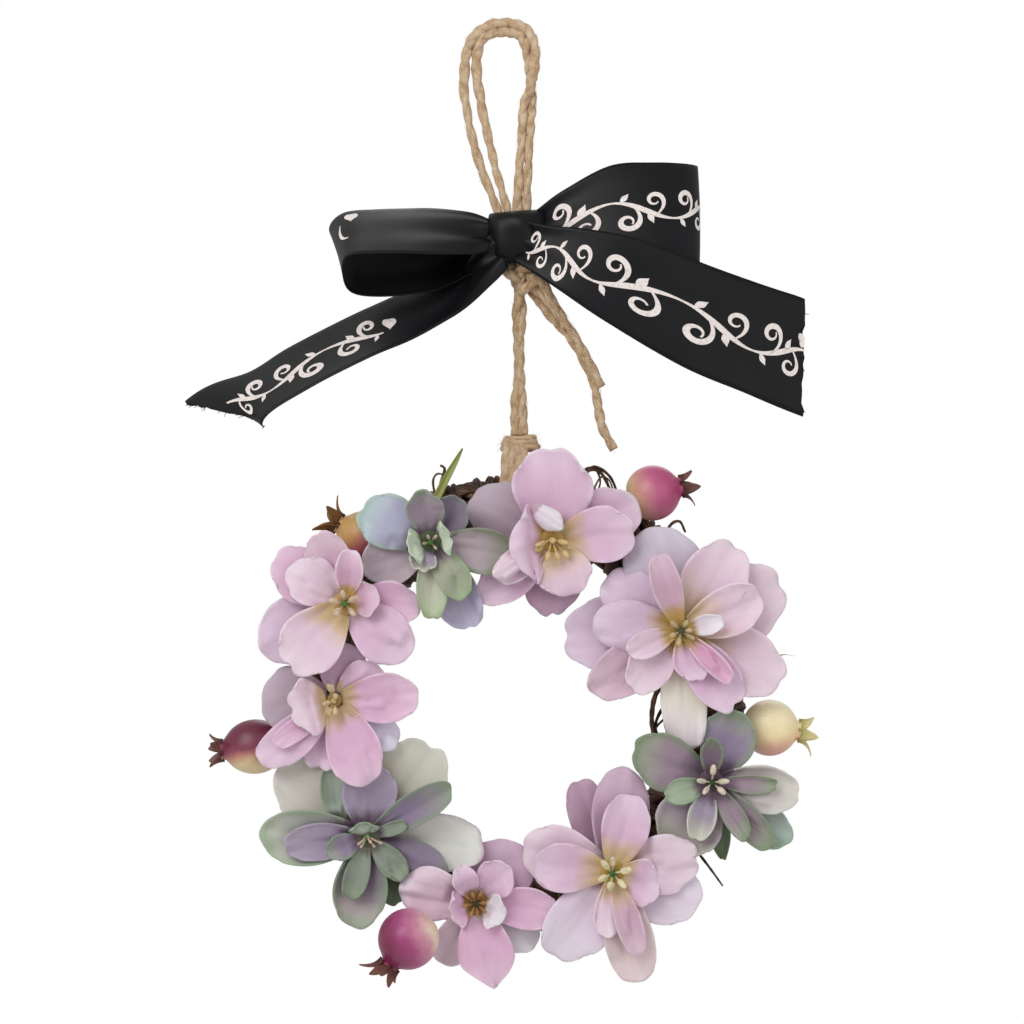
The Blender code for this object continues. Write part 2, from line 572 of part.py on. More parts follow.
def front_at(tree, x, z):
    """The nearest Y to the viewer at a place, or None."""
    if tree is None:
        return None
    spot = tree.ray_cast(Vector((x, -FAR, z)), Vector((0, 1, 0)))[0]
    return None if spot is None else spot.y


def lay_over(tree, bloom, petal, clear, hold):
    """How far a petal comes forward at each of its steps to clear what one tree holds."""
    steps = LAY_STEPS + 1
    need = [[0.0] * steps for _ in range(steps)]
    for i in range(steps):
        for j in range(steps):
            spot = petal_point(bloom, petal, i / LAY_STEPS, 2 * j / LAY_STEPS - 1)
            front = front_at(tree, spot.x, spot.z)
            if front is not None:
                need[i][j] = min(LAY_LIMIT, max(0.0, spot.y + PETAL_THICK / 2 + clear - front))
    wide = [[max(need[a][b] for a in range(max(0, i - 1), min(steps, i + 2))
                 for b in range(max(0, j - 1), min(steps, j + 2)))
             for j in range(steps)] for i in range(steps)]
    for i in range(steps):
        share = min(1.0, i / LAY_STEPS / hold)
        for j in range(steps):
            wide[i][j] *= share * share * (3 - 2 * share)
    return wide


def lay_petal(layers, name, bloom, petal):
    """How far a petal comes forward to lie over everything already there."""
    far = lay_over(layers.tree(name, False), bloom, petal, LAY_CLEAR, ROOT_HOLD)
    near = lay_over(layers.tree(name, True), bloom, petal, LAY_CLOSE, OWN_HOLD)
    return [[max(a, b) for a, b in zip(row, other)] for row, other in zip(far, near)]


def lay_at(lay, u, v):
    """The forward move at a point of a petal."""
    a, b = u * LAY_STEPS, (v + 1) / 2 * LAY_STEPS
    i, j = min(int(a), LAY_STEPS - 1), min(int(b), LAY_STEPS - 1)
    a, b = a - i, b - j
    top = lay[i][j] * (1 - b) + lay[i][j + 1] * b
    low = lay[i + 1][j] * (1 - b) + lay[i + 1][j + 1] * b
    return top * (1 - a) + low * a


def petal_grid(bloom, petal, lay, rows, columns):
    grid = []
    for u in rows:
        row = []
        for j in range(columns + 1):
            v = 2 * j / columns - 1
            row.append(petal_point(bloom, petal, u, v) - Vector((0, lay_at(lay, u, v), 0)))
        grid.append(row)
    return grid


def ring_point(around, across):
    """A point of the vine ring: around it, and across its section, whose lobes turn as they go."""
    lobe = math.cos(RING_LOBES * across - RING_TURNS * around)
    swell = 1 - RING_RIDGE + RING_RIDGE * lobe
    out = RING_RADIUS + RING_HALF_WIDTH * swell * math.cos(across)
    depth = RING_HALF_DEPTH * swell * math.sin(across)
    return Vector((RING_X + out * math.cos(around), depth, RING_Z + out * math.sin(around)))


def ring_mesh():
    points, faces = [], []
    for i in range(RING_STEPS):
        for k in range(RING_SIDES):
            points.append(ring_point(2 * math.pi * i / RING_STEPS, 2 * math.pi * k / RING_SIDES))
    for i in range(RING_STEPS):
        for k in range(RING_SIDES):
            a, b = i * RING_SIDES + k, i * RING_SIDES + (k + 1) % RING_SIDES
            shift = ((i + 1) % RING_STEPS) * RING_SIDES - i * RING_SIDES
            faces.append((a, b, b + shift, a + shift))
    return points, faces


# Stray twigs: their routes and radii, each starting inside the ring
TWIGS = [
    ([(16.0, -3.0, -113.0), (17.5, -4.0, -107.0), (18.8, -4.0, -103.8), (21.5, -4.0, -104.2),
      (23.5, -4.0, -107.5), (24.6, -3.5, -112.0), (24.0, -2.0, -116.0)], 0.6),
    ([(-16.0, -3.0, -112.0), (-16.6, -4.0, -107.5), (-15.6, -4.5, -103.6), (-16.6, -4.0, -102.6)], 0.55),
    ([(36.0, -2.0, -124.0), (38.0, -3.5, -117.4), (40.5, -3.0, -116.0), (42.0, -2.0, -118.6)], 0.5),
    ([(-46.0, 0.0, -143.0), (-51.0, 0.0, -137.2), (-55.8, -1.0, -139.4)], 0.5),
    ([(44.0, 0.0, -194.0), (48.0, -1.0, -199.2), (51.0, -1.0, -203.4)], 0.5),
    ([(-40.0, -2.0, -142.4), (-33.0, -2.0, -139.4), (-27.0, -2.0, -141.0), (-30.0, -2.0, -145.0),
      (-38.0, -1.0, -150.0)], 0.5),
    ([(45.0, -2.0, -150.0), (36.4, -3.0, -155.0), (34.0, -3.0, -161.5), (35.0, -3.0, -168.5),
      (40.0, -2.0, -173.5), (46.0, 0.0, -176.0)], 0.8),
    ([(46.0, 2.0, -153.0), (38.6, 1.5, -158.0), (37.4, 1.0, -164.0), (39.6, 1.0, -169.5),
      (46.0, 1.0, -173.0)], 0.8),
]


def vine_ring(material):
    points, faces = ring_mesh()
    ring = mesh_object("vine_ring", points, faces, material)
    twigs = []
    for i, (route, radius) in enumerate(TWIGS):
        path = smooth_path(route, 2 * len(route) - 2)
        points, faces = tube(path, radius, 4)
        twigs.append(mesh_object("twig_%d" % i, points, faces, material))
    return boolean(ring, twigs, "UNION")


def bloom_heart(name, bloom, material, front):
    """The core that the petals spring from, turned about the bloom's axis."""
    x, z = bloom["centre"]
    back = CORE_BACK - bloom["stand"]
    profile = [(CORE_RADIUS * 0.7, back), (CORE_RADIUS, back - CORE_ROUND), (CORE_RADIUS, front + CORE_ROUND),
               (CORE_RADIUS * 0.8, front)]
    points, faces = turned(profile, CORE_SIDES, lambda a, b, y: (x + a, y, z + b))
    return mesh_object(name, points, faces, material)


def petal_order(bloom, petal):
    return bloom["stand"] + petal[3] + 0.55 * petal[4]


def lay_blooms(layers, materials):
    """Every petal of every bloom, laid from the ring outwards; returns each bloom's petals."""
    turns = [(petal_order(bloom, petal), name, i)
             for name, bloom in BLOOMS.items() for i, petal in enumerate(bloom["petals"])]
    sheets = {name: [] for name in BLOOMS}
    for _, name, i in sorted(turns):
        bloom = BLOOMS[name]
        petal = bloom["petals"][i]
        lay = lay_petal(layers, name, bloom, petal)
        grid = petal_grid(bloom, petal, lay, PETAL_ROWS, petal_columns(petal))
        points, faces = thick_sheet(grid, PETAL_THICK)
        layers.add(name, points, faces)
        piece = mesh_object("%s_petal_%d" % (name, i), points, faces, materials[bloom["kind"]])
        sheets[name].append(piece)
    return sheets


def bead_path(bloom, base, k):
    """From the base out along one filament and through its bead."""
    x, z = bloom["centre"]
    turn = 2 * math.pi * (k + 0.25) / BEAD_COUNT
    return [Vector((x + out * math.cos(turn), base - lift, z + out * math.sin(turn)))
            for out, lift, _ in BEAD_STEPS]


def stamens(name, bloom, front, material):
    """Beads on filaments round a pistil, on a small round base."""
    x, z = bloom["centre"]
    base = front - GAP

    def place(a, b, y):
        return x + a, y, z + b

    points, faces = turned([(BASE_RADIUS, base), (BASE_RADIUS * 0.8, base - BASE_HEIGHT)], CORE_SIDES, place)
    body = mesh_object(name, points, faces, material)
    points, faces = turned([(PISTIL_RADIUS, base - BASE_HEIGHT / 2), (PISTIL_RADIUS, base - PISTIL_LENGTH)],
                           PISTIL_SIDES, place)
    parts = [mesh_object(name + "_pistil", points, faces, material)]
    for k in range(BEAD_COUNT):
        points, faces = tube(bead_path(bloom, base, k), [step[2] for step in BEAD_STEPS], BEAD_SIDES)
        parts.append(mesh_object("%s_bead_%d" % (name, k), points, faces, material))
    return boolean(body, parts, "UNION")


def stamen_room(name, bloom, front, material):
    """Room cut from the petals round the beads, and before the core."""
    x, z = bloom["centre"]
    rooms = []
    for k in range(BEAD_COUNT):
        path = bead_path(bloom, front - GAP, k)
        path.append(path[-1] * 2 - path[-2])
        sizes = [step[2] + BEAD_ROOM for step in BEAD_STEPS]
        points, faces = tube(path, sizes + sizes[-1:], BEAD_SIDES)
        rooms.append(mesh_object("%s_room_%d" % (name, k), points, faces, material))
    profile = [(radius, front - length) for radius, length in THROAT]
    points, faces = turned(profile, 2 * CORE_SIDES, lambda a, b, y: (x + a, y, z + b))
    rooms.append(mesh_object(name + "_throat", points, faces, material))
    return rooms


def calyx(name, bloom, tree, material):
    """The green cup and stalk between the petals and the ring."""
    x, z = bloom["centre"]
    front = CORE_BACK - bloom["stand"] + GAP
    around = (-STALK_RADIUS, 0, STALK_RADIUS)
    seats = [front_at(tree, x + a, z + b) for a in around for b in around]
    back = min(seat for seat in seats if seat is not None) - GAP
    profile = [(STALK_RADIUS, back), (STALK_RADIUS, (back + front) / 2), (CALYX_RADIUS, front + CALYX_HEIGHT),
               (CALYX_RIM, front)]
    points, faces = turned(profile, CORE_SIDES, lambda a, b, y: (x + a, y, z + b))
    return mesh_object(name, points, faces, material)


def berry_frame(berry):
    """Unit vectors of a berry: towards its crown, and two across."""
    turn = math.radians(berry["crown"])
    along = Vector((math.cos(turn), 0, math.sin(turn)))
    side = Vector((-math.sin(turn), 0, math.cos(turn)))
    return along, side, Vector((0, 1, 0))


def ring_seat(spot):
    """The point of the ring nearest to a spot."""
    around = math.atan2(spot.z - RING_Z, spot.x - RING_X)
    looks = [ring_point(around + math.radians(a), math.radians(b)) for a in range(-12, 13, 2)
             for b in range(0, 360, 6)]
    return min(looks, key=lambda look: (look - spot).length)


def berry_stalk(name, berry, material):
    """The short stalk from a berry's inner end to the ring."""
    along = berry_frame(berry)[0]
    middle = Vector((berry["centre"][0], -berry["forward"], berry["centre"][1]))
    start = middle - along * berry["radius"] * STALK_SUNK
    seat = ring_seat(middle - along * berry["radius"])
    end = seat + (start - seat).normalized() * GAP
    points, faces = tube([start, end], BERRY_STALK, STALK_SIDES)
    return mesh_object(name + "_stalk", points, faces, material)


def berry_body(berry):
    along, side, back = berry_frame(berry)
    middle = Vector((berry["centre"][0], -berry["forward"], berry["centre"][1]))
    radius, length = berry["radius"], berry["radius"] * berry["long"]
    profile = []
    for i in range(BERRY_RINGS + 1):
        turn = math.pi * (BERRY_FLAT + (1 - 2 * BERRY_FLAT) * i / BERRY_RINGS)
        profile.append((radius * math.sin(turn), -length * math.cos(turn)))
    points, faces = turned(profile, BERRY_SIDES,
                           lambda a, b, h: middle + side * a + back * b + along * h)
    return points, faces


def berry_over(berry, tree):
    """How far forward a berry must lie to rest on what is behind it."""
    radius = berry["radius"]
    forward = 0.0
    for i in range(-REST_STEPS, REST_STEPS + 1):
        for j in range(-REST_STEPS, REST_STEPS + 1):
            a, b = radius * i / REST_STEPS, radius * j / REST_STEPS
            front = front_at(tree, berry["centre"][0] + a, berry["centre"][1] + b)
            if a * a + b * b < radius * radius and front is not None:
                forward = max(forward, math.sqrt(radius * radius - a * a - b * b) + GAP - front)
    return forward


def berry_crown(name, berry, material):
    """Dry sepals on a small collar at the berry's end."""
    along, side, back = berry_frame(berry)
    middle = Vector((berry["centre"][0], -berry["forward"], berry["centre"][1]))
    end = middle + along * (berry["radius"] * berry["long"] * math.cos(math.pi * BERRY_FLAT) + GAP)
    points, faces = turned(CROWN_COLLAR, CORE_SIDES, lambda a, b, h: end + side * a + back * b + along * h)
    body = mesh_object(name, points, faces, material)
    draw = random.Random(name)
    sepals = []
    for k in range(CROWN_SEPALS):
        turn = 2 * math.pi * (k + 0.5) / CROWN_SEPALS
        out = side * math.cos(turn) + back * math.sin(turn)
        length = SEPAL_LENGTH * draw.uniform(*SEPAL_LENGTHS)
        spread = draw.uniform(*SEPAL_SPREADS)
        grid = []
        for i, share in enumerate(SEPAL_TAPER):
            t = i / (len(SEPAL_TAPER) - 1)
            spot = end + along * (0.5 + length * t * (1 - 0.3 * spread * t))
            spot += out * (0.7 + length * spread * t * t)
            across = along.cross(out).normalized() * SEPAL_WIDTH / 2 * share
            grid.append([spot - across, spot + across])
        points, faces = thick_sheet(grid, SEPAL_THICK)
        sepals.append(mesh_object("%s_sepal_%d" % (name, k), points, faces, material))
    return boolean(body, sepals, "UNION")


def jute_loop(material):
    """The doubled hanging loop: two strands that part on the left and twist together on the right."""
    strands = []
    for name, route in (("outer", LOOP_OUTER), ("inner", LOOP_INNER)):
        path = smooth_path(route, LOOP_STEPS)
        points, faces = tube(path, JUTE_RADIUS, JUTE_SIDES)
        strands.append(mesh_object("strand_" + name, points, faces, material))
    strands[0].name = "jute_hanging_loop"
    return boolean(strands[0], strands[1:], "UNION")


def knot_tube():
    """An overhand knot of one strand, drawn as a closed trefoil."""
    path = []
    for i in range(KNOT_STEPS):
        t = 2 * math.pi * i / KNOT_STEPS
        path.append((KNOT_X + KNOT_WIDE * (math.sin(t) + 2 * math.sin(2 * t)) / 3,
                     KNOT_DEEP * math.sin(3 * t),
                     KNOT_Z + KNOT_TALL * (math.cos(t) - 2 * math.cos(2 * t)) / 3))
    return tube(path, JUTE_RADIUS, JUTE_SIDES, closed=True)


def jute_stem(material):
    """The knot under the bow, and two strands from it down to the collar, twisted half a turn."""
    points, faces = knot_tube()
    knot = mesh_object("jute_stem", points, faces, material)
    strands = []
    for hand in (-1, 1):
        path = []
        for i in range(STEM_STEPS + 1):
            t = i / STEM_STEPS
            place = t * (len(STEM_TURNS) - 1)
            part = min(int(place), len(STEM_TURNS) - 2)
            turn = math.radians(STEM_TURNS[part] + (STEM_TURNS[part + 1] - STEM_TURNS[part]) * (place - part))
            apart = STEM_APART * hand
            path.append((STEM_TOP[0] + (STEM_FOOT[0] - STEM_TOP[0]) * t + apart * math.cos(turn),
                         apart * math.sin(turn), STEM_TOP[1] + (STEM_FOOT[1] - STEM_TOP[1]) * t))
        points, faces = tube(path, JUTE_RADIUS, JUTE_SIDES)
        strands.append(mesh_object("stem_strand", points, faces, material))
    return boolean(knot, strands, "UNION")


def binding_wrap():
    """Turns of jute side by side round the ring's section, drawn up to a peak under the collar."""
    half = BINDING_PITCH * BINDING_TURNS / 2
    section = [(-half, -JUTE_RADIUS), (-half, 0.0)]
    for k in range(BINDING_TURNS):
        section.append(((k + 0.5) * BINDING_PITCH - half, JUTE_RADIUS))
        if k < BINDING_TURNS - 1:
            section.append(((k + 1) * BINDING_PITCH - half, BINDING_VALLEY))
    section += [(half, 0.0), (half, -JUTE_RADIUS)]
    sides = len(section)
    points, faces = [], []
    for i in range(BINDING_STEPS):
        t = 2 * math.pi * i / BINDING_STEPS
        peak = max(0.0, math.cos(t)) ** 3
        for across, out in section:
            across *= 1 - BINDING_GATHER * peak
            middle = RING_Z + math.sqrt(RING_RADIUS ** 2 - (BINDING_MIDDLE + across - RING_X) ** 2)
            high = BINDING_HIGH + BINDING_PEAK * peak + out
            points.append((BINDING_MIDDLE + across, (BINDING_DEEP + out) * math.sin(t),
                           middle + high * math.cos(t)))
    for i in range(BINDING_STEPS):
        here, there = i * sides, (i + 1) % BINDING_STEPS * sides
        for k in range(sides):
            k2 = (k + 1) % sides
            faces.append((here + k, here + k2, there + k2, there + k))
    return points, faces


def jute_binding(material):
    """Jute wound round the top of the ring, tied off under the stem by a collar."""
    points, faces = binding_wrap()
    wrap = mesh_object("jute_binding", points, faces, material)
    path = []
    for i in range(COLLAR_STEPS):
        t = 2 * math.pi * i / COLLAR_STEPS
        path.append((BINDING_MIDDLE + COLLAR_WIDE * math.cos(t), COLLAR_DEEP * math.sin(t),
                     COLLAR_Z + COLLAR_TILT * math.sin(t + 1)))
    points, faces = tube(path, JUTE_RADIUS, JUTE_SIDES, closed=True)
    return boolean(wrap, [mesh_object("collar", points, faces, material)], "UNION")


def jute_tail(name, route, material):
    """A free end of jute: a curve with round section and filled caps."""
    path = smooth_path(route, TAIL_STEPS)
    data = bpy.data.curves.new(name, "CURVE")
    data.dimensions = "3D"
    data.bevel_depth = JUTE_RADIUS * MM
    data.bevel_resolution = 2
    data.use_fill_caps = True
    spline = data.splines.new("POLY")
    spline.points.add(len(path) - 1)
    for point, spot in zip(spline.points, path):
        point.co = (*(spot * MM), 1)
    data.materials.append(material)
    item = bpy.data.objects.new(name, data)
    bpy.context.scene.collection.objects.link(item)


def ribbon_strip(name, stations, rows, material):
    """A length of ribbon through stations of x, y, z, width, slant and lean."""
    centres = smooth_path([s[:3] for s in stations], rows + 1)
    shapes = smooth_path([s[3:] for s in stations], rows + 1)
    grid = []
    for spot, (width, slant, lean) in zip(centres, shapes):
        slant, lean = math.radians(slant), math.radians(lean)
        across = Vector((math.cos(lean) * math.cos(slant), -math.sin(lean), math.cos(lean) * math.sin(slant)))
        row = []
        for j in range(RIBBON_COLUMNS + 1):
            row.append(spot + across * width * (j / RIBBON_COLUMNS - 0.5))
        grid.append(row)
    points, faces = thick_sheet(grid, RIBBON_THICK)
    return mesh_object(name, points, faces, material)


def ribbon_knot(material):
    """A plump band round the jute, open down its middle for the strands."""
    points, faces = [], []
    levels = [(BAND_IN, -1.0), (BAND_OUT[0], -1.0), (BAND_OUT[1], -0.5), (BAND_OUT[2], 0.3), (BAND_OUT[0], 1.0),
              (BAND_IN, 1.0)]
    for (wide, back, front), level in levels:
        for k in range(BAND_SIDES):
            t = 2 * math.pi * k / BAND_SIDES
            deep = front if math.sin(t) < 0 else back
            points.append((BAND_X + wide * math.cos(t), deep * math.sin(t), BAND_Z + BAND_TALL * level))
    rings = len(levels)
    for i in range(rings):
        for k in range(BAND_SIDES):
            k2 = (k + 1) % BAND_SIDES
            a, b = i * BAND_SIDES, ((i + 1) % rings) * BAND_SIDES
            faces.append((a + k, a + k2, b + k2, b + k))
    return mesh_object("ribbon_bow", points, faces, material)


def ribbon_bow(material):
    knot = ribbon_knot(material)
    parts = [ribbon_strip(name, stations, rows, material) for name, stations, rows in RIBBON_PARTS]
    return boolean(knot, parts, "UNION")


def grass_blade(material):
    path = smooth_path(GRASS, GRASS_STEPS)
    grid = []
    for i, spot in enumerate(path):
        half = GRASS_WIDTH / 2 * (1 - i / 2 / len(path))
        across = Vector((half, 0, -half * GRASS_SLANT))
        grid.append([spot - across, spot + across])
    points, faces = thick_sheet(grid, PETAL_THICK)
    return mesh_object("grass_blade", points, faces, material)


def main():
    for item in list(bpy.data.objects):
        bpy.data.objects.remove(item)
    materials = {
        "vine": plain_material("vine_bark", "2b1a12", 0.85),
        "jute": plain_material("jute_fibre", "b3906a", 0.9),
        "ribbon": plain_material("black_satin", "161616", 0.35),
        "pink": plain_material("pink_petal_cloth", "d9bfd2", 0.7),
        "green": plain_material("green_petal_cloth", "b9bdb4", 0.7),
        "gold": plain_material("stamen_gold", "c9a866", 0.7),
        "calyx": plain_material("calyx_green", "5f7348", 0.6),
        "berry": plain_material("berry_skin", "b5566f", 0.3),
        "crown": plain_material("crown_brown", "5a3a30", 0.8),
    }
    layers = Layers()
    vine_ring(materials["vine"])
    jute_loop(materials["jute"])
    jute_stem(materials["jute"])
    jute_tail("jute_tail_short", TAIL_SHORT, materials["jute"])
    jute_tail("jute_tail_long", TAIL_LONG, materials["jute"])
    binding = jute_binding(materials["jute"])
    ribbon_bow(materials["ribbon"])
    grass_blade(materials["calyx"])
    points, faces = ring_mesh()
    layers.add("ring", points, faces)
    spots = [vert.co / MM for vert in binding.data.vertices]
    layers.add("binding", spots, [tuple(face.vertices) for face in binding.data.polygons])
    ring_tree = layers.tree("ring", True)
    for name, berry in BERRIES.items():
        if berry["forward"] is not None:
            points, faces = berry_body(berry)
            layers.add(name, points, faces)
            body = mesh_object(name, points, faces, materials["berry"])
            boolean(body, [berry_stalk(name, berry, materials["berry"])], "UNION")
            berry_crown(name + "_crown", berry, materials["crown"])
    sheets = lay_blooms(layers, materials)
    for name, berry in BERRIES.items():
        if berry["forward"] is None:
            berry = dict(berry, forward=berry_over(berry, layers.tree(name, False)))
            points, faces = berry_body(berry)
            mesh_object(name, points, faces, materials["berry"])
            berry_crown(name + "_crown", berry, materials["crown"])
    for name, bloom in BLOOMS.items():
        front = -bloom["stand"] - max(petal[3] for petal in bloom["petals"]) - CORE_FRONT
        core = bloom_heart(name + "_petals", bloom, materials[bloom["kind"]], front)
        body = boolean(core, sheets[name], "UNION")
        boolean(body, stamen_room(name, bloom, front, materials["gold"]), "DIFFERENCE")
        stamens(name + "_stamens", bloom, front, materials["gold"])
        calyx(name + "_calyx", bloom, ring_tree, materials["calyx"])


main()
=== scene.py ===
# The looks of a small door wreath: fabric blooms and berries on a vine ring, hung by a doubled jute cord
# under a satin bow. Tables are in millimetres and degrees; the wreath faces -Y and +Z is up.
import math
import random

import bpy
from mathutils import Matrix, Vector
from mathutils.bvhtree import BVHTree


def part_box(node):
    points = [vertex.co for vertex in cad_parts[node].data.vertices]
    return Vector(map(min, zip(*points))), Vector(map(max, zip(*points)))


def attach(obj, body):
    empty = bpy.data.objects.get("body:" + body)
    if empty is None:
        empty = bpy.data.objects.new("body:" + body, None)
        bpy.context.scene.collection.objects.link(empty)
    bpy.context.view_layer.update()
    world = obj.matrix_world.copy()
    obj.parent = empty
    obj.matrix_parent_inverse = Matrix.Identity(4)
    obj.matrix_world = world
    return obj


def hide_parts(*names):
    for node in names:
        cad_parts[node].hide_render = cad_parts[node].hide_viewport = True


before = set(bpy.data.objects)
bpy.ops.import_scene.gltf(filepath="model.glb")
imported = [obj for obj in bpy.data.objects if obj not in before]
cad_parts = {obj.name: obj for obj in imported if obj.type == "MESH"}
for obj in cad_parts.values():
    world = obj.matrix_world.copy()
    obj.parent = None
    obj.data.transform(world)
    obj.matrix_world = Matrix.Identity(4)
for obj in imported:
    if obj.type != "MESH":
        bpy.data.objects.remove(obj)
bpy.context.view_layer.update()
mm = 0.001
far = 300.0  # a start for sight lines, well outside the wreath
toViewer = Vector((0, -1, 0))


def linear(text):  # an sRGB hex colour as linear numbers
    parts = [int(text[i:i + 2], 16) / 255 for i in (0, 2, 4)]
    return [p / 12.92 if p <= 0.04045 else ((p + 0.055) / 1.055) ** 2.4 for p in parts] + [1.0]


def addNode(tree, kind, settings=None, links=None):
    node = tree.nodes.new(kind)
    for name, value in (settings or {}).items():
        if name == "stops":
            ramp = node.color_ramp
            while len(ramp.elements) < len(value):
                ramp.elements.new(0.5)
            for element, (place, colour) in zip(ramp.elements, value):
                element.position = place
                element.color = linear(colour)
        elif isinstance(name, int) or name in node.inputs:
            node.inputs[name].default_value = value
        else:
            setattr(node, name, value)
    for name, source in (links or {}).items():
        tree.links.new(source, node.inputs[name])
    return node


def newMaterial(name, settings):
    material = bpy.data.materials.new(name)
    material.use_nodes = True
    tree = material.node_tree
    shader = tree.nodes["Principled BSDF"]
    for socket, value in settings.items():
        shader.inputs[socket].default_value = value
    return material, tree, shader


class Shape:  # points, faces and marks gathered for one piece
    def __init__(self):
        self.points, self.faces, self.slots, self.marks = [], [], [], {}

    def add(self, points, faces, slot=0, **marks):
        start = len(self.points)
        self.points += points
        self.faces += [tuple(k + start for k in face) for face in faces]
        self.slots += slot if isinstance(slot, list) else [slot] * len(faces)
        for name, values in marks.items():
            row = values if isinstance(values, list) else [values] * len(points)
            held = self.marks.setdefault(name, [])
            held += [row[0]] * (start - len(held)) + row

    def build(self, name, materials):
        mesh = bpy.data.meshes.new(name)
        mesh.from_pydata([Vector(p) * mm for p in self.points], [], self.faces)
        for material in materials:
            mesh.materials.append(material)
        mesh.polygons.foreach_set("material_index", self.slots)
        for mark, values in self.marks.items():
            values += [values[0]] * (len(self.points) - len(values))
            size = len(values[0]) if hasattr(values[0], "__len__") else 1
            kinds = {1: ("FLOAT", "value"), 3: ("FLOAT_VECTOR", "vector"), 4: ("FLOAT_COLOR", "color")}
            kind, field = kinds[size]
            flat = values if size == 1 else [number for value in values for number in value]
            mesh.attributes.new(mark, kind, "POINT").data.foreach_set(field, flat)
        mesh.update()
        mesh.shade_smooth()
        piece = bpy.data.objects.new(name, mesh)
        bpy.context.scene.collection.objects.link(piece)
        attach(piece, "root")
        return piece


# The view: the photograph looks straight at the wreath
view = {"target": (0.48, 0.0, -113.76), "distance": 850.0, "frameWidth": 245.76, "sensor": 36.0,
        "floorDown": 1000.0, "floorRadius": 1500.0, "sky": "ffffff", "skyLight": 0.58,
        "key": ((-520.0, -760.0, 420.0), 620.0, 4.6), "fill": ((640.0, -620.0, -40.0), 700.0, 0.9),
        "back": ((120.0, 700.0, 380.0), 500.0, 1.0)}


def setView():
    target = Vector(view["target"]) * mm
    camera = bpy.data.cameras.new("camera")
    camera.sensor_width = view["sensor"]
    camera.lens = view["sensor"] * view["distance"] / view["frameWidth"]
    camera.clip_start = 0.01
    camera.clip_end = 20.0
    eye = bpy.data.objects.new("camera", camera)
    eye.location = target + toViewer * view["distance"] * mm
    eye.rotation_euler = (math.pi / 2, 0, 0)
    bpy.context.scene.collection.objects.link(eye)
    bpy.context.scene.camera = eye
    bpy.context.scene.view_settings.view_transform = "Standard"
    world = bpy.data.worlds.new("studio")
    bpy.context.scene.world = world
    world.use_nodes = True
    tree = world.node_tree
    seen = tree.nodes["Background"]
    seen.inputs["Color"].default_value = linear(view["sky"])
    lit = addNode(tree, "ShaderNodeBackground", {"Color": linear(view["sky"]), "Strength": view["skyLight"]})
    path = addNode(tree, "ShaderNodeLightPath")
    both = addNode(tree, "ShaderNodeMixShader", {}, {0: path.outputs["Is Camera Ray"], 1: lit.outputs[0],
                                                     2: seen.outputs[0]})
    tree.links.new(both.outputs[0], tree.nodes["World Output"].inputs["Surface"])
    for name in ("key", "fill", "back"):
        place, size, power = view[name]
        lamp = bpy.data.lights.new(name, "AREA")
        lamp.size = size * mm
        lamp.energy = power
        item = bpy.data.objects.new(name, lamp)
        item.location = Vector(place) * mm
        item.rotation_euler = (target - item.location).to_track_quat("-Z", "Y").to_euler()
        bpy.context.scene.collection.objects.link(item)
    floor = Shape()
    sides = 64
    wide, down = view["floorRadius"], view["floorDown"]
    turns = [2 * math.pi * k / sides for k in range(sides)]
    floor.add([Vector((wide * math.cos(t), wide * math.sin(t), -down)) for t in turns], [tuple(range(sides))])
    material, tree, shader = newMaterial("pale_floor", {"Roughness": 0.9})
    grain = addNode(tree, "ShaderNodeTexNoise", {"Scale": 3.0, "Detail": 2.0})
    ramp = addNode(tree, "ShaderNodeValToRGB", {"stops": [(0.3, "f2f1ef"), (0.7, "f7f6f4")]},
                   {"Fac": grain.outputs["Fac"]})
    tree.links.new(ramp.outputs["Color"], shader.inputs["Base Color"])
    floor.build("floor", [material])


def pathAt(points, share):  # a Catmull-Rom curve through the points, read at a share of its length
    place = share * (len(points) - 1)
    part = min(max(int(place), 0), len(points) - 2)
    t = place - part
    b, c = Vector(points[part]), Vector(points[part + 1])
    a = Vector(points[part - 1]) if part else b * 2 - c
    d = Vector(points[part + 2]) if part + 2 < len(points) else c * 2 - b
    bend, turn = 2 * a - 5 * b + 4 * c - d, 3 * b - a - 3 * c + d
    return 0.5 * (2 * b + (c - a) * t + bend * t * t + turn * t ** 3)


def smoothPath(points, count):
    return [pathAt(points, i / (count - 1)) for i in range(count)]


def pathLength(path):
    return sum((b - a).length for a, b in zip(path, path[1:]))


def densePath(points, step):
    rough = smoothPath(points, 8 * len(points))
    return smoothPath(points, max(4, round(pathLength(rough) / step) + 1))


def framesOf(path):  # each point with two directions square to the path, carried along without twist
    side = None
    for i, spot in enumerate(path):
        along = (path[min(i + 1, len(path) - 1)] - path[max(i - 1, 0)]).normalized()
        if side is None:
            start = Vector((0, 1, 0)) if abs(along.y) < 0.9 else Vector((1, 0, 0))
            side = start.cross(along)
        side = (side - along * side.dot(along)).normalized()
        yield spot, side, along.cross(side)


def sweep(path, radii, sides, twist=0.0):  # a round tube: points, faces, and the grain that runs along it
    points, grain = [], []
    run = 0.0
    for i, (spot, side, other) in enumerate(framesOf(path)):
        run += (spot - path[i - 1]).length if i else 0.0
        for k in range(sides):
            turn = 2 * math.pi * k / sides
            points.append(spot + (side * math.cos(turn) + other * math.sin(turn)) * radii[i])
            laid = turn + run * twist
            grain.append((math.cos(laid) * radii[i], math.sin(laid) * radii[i], run))
    faces = []
    for i in range(len(path) - 1):
        for k in range(sides):
            a, b = i * sides + k, i * sides + (k + 1) % sides
            faces.append((a, b, b + sides, a + sides))
    faces.append(tuple(range(sides))[::-1])
    faces.append(tuple(range((len(path) - 1) * sides, len(path) * sides)))
    return points, faces, grain


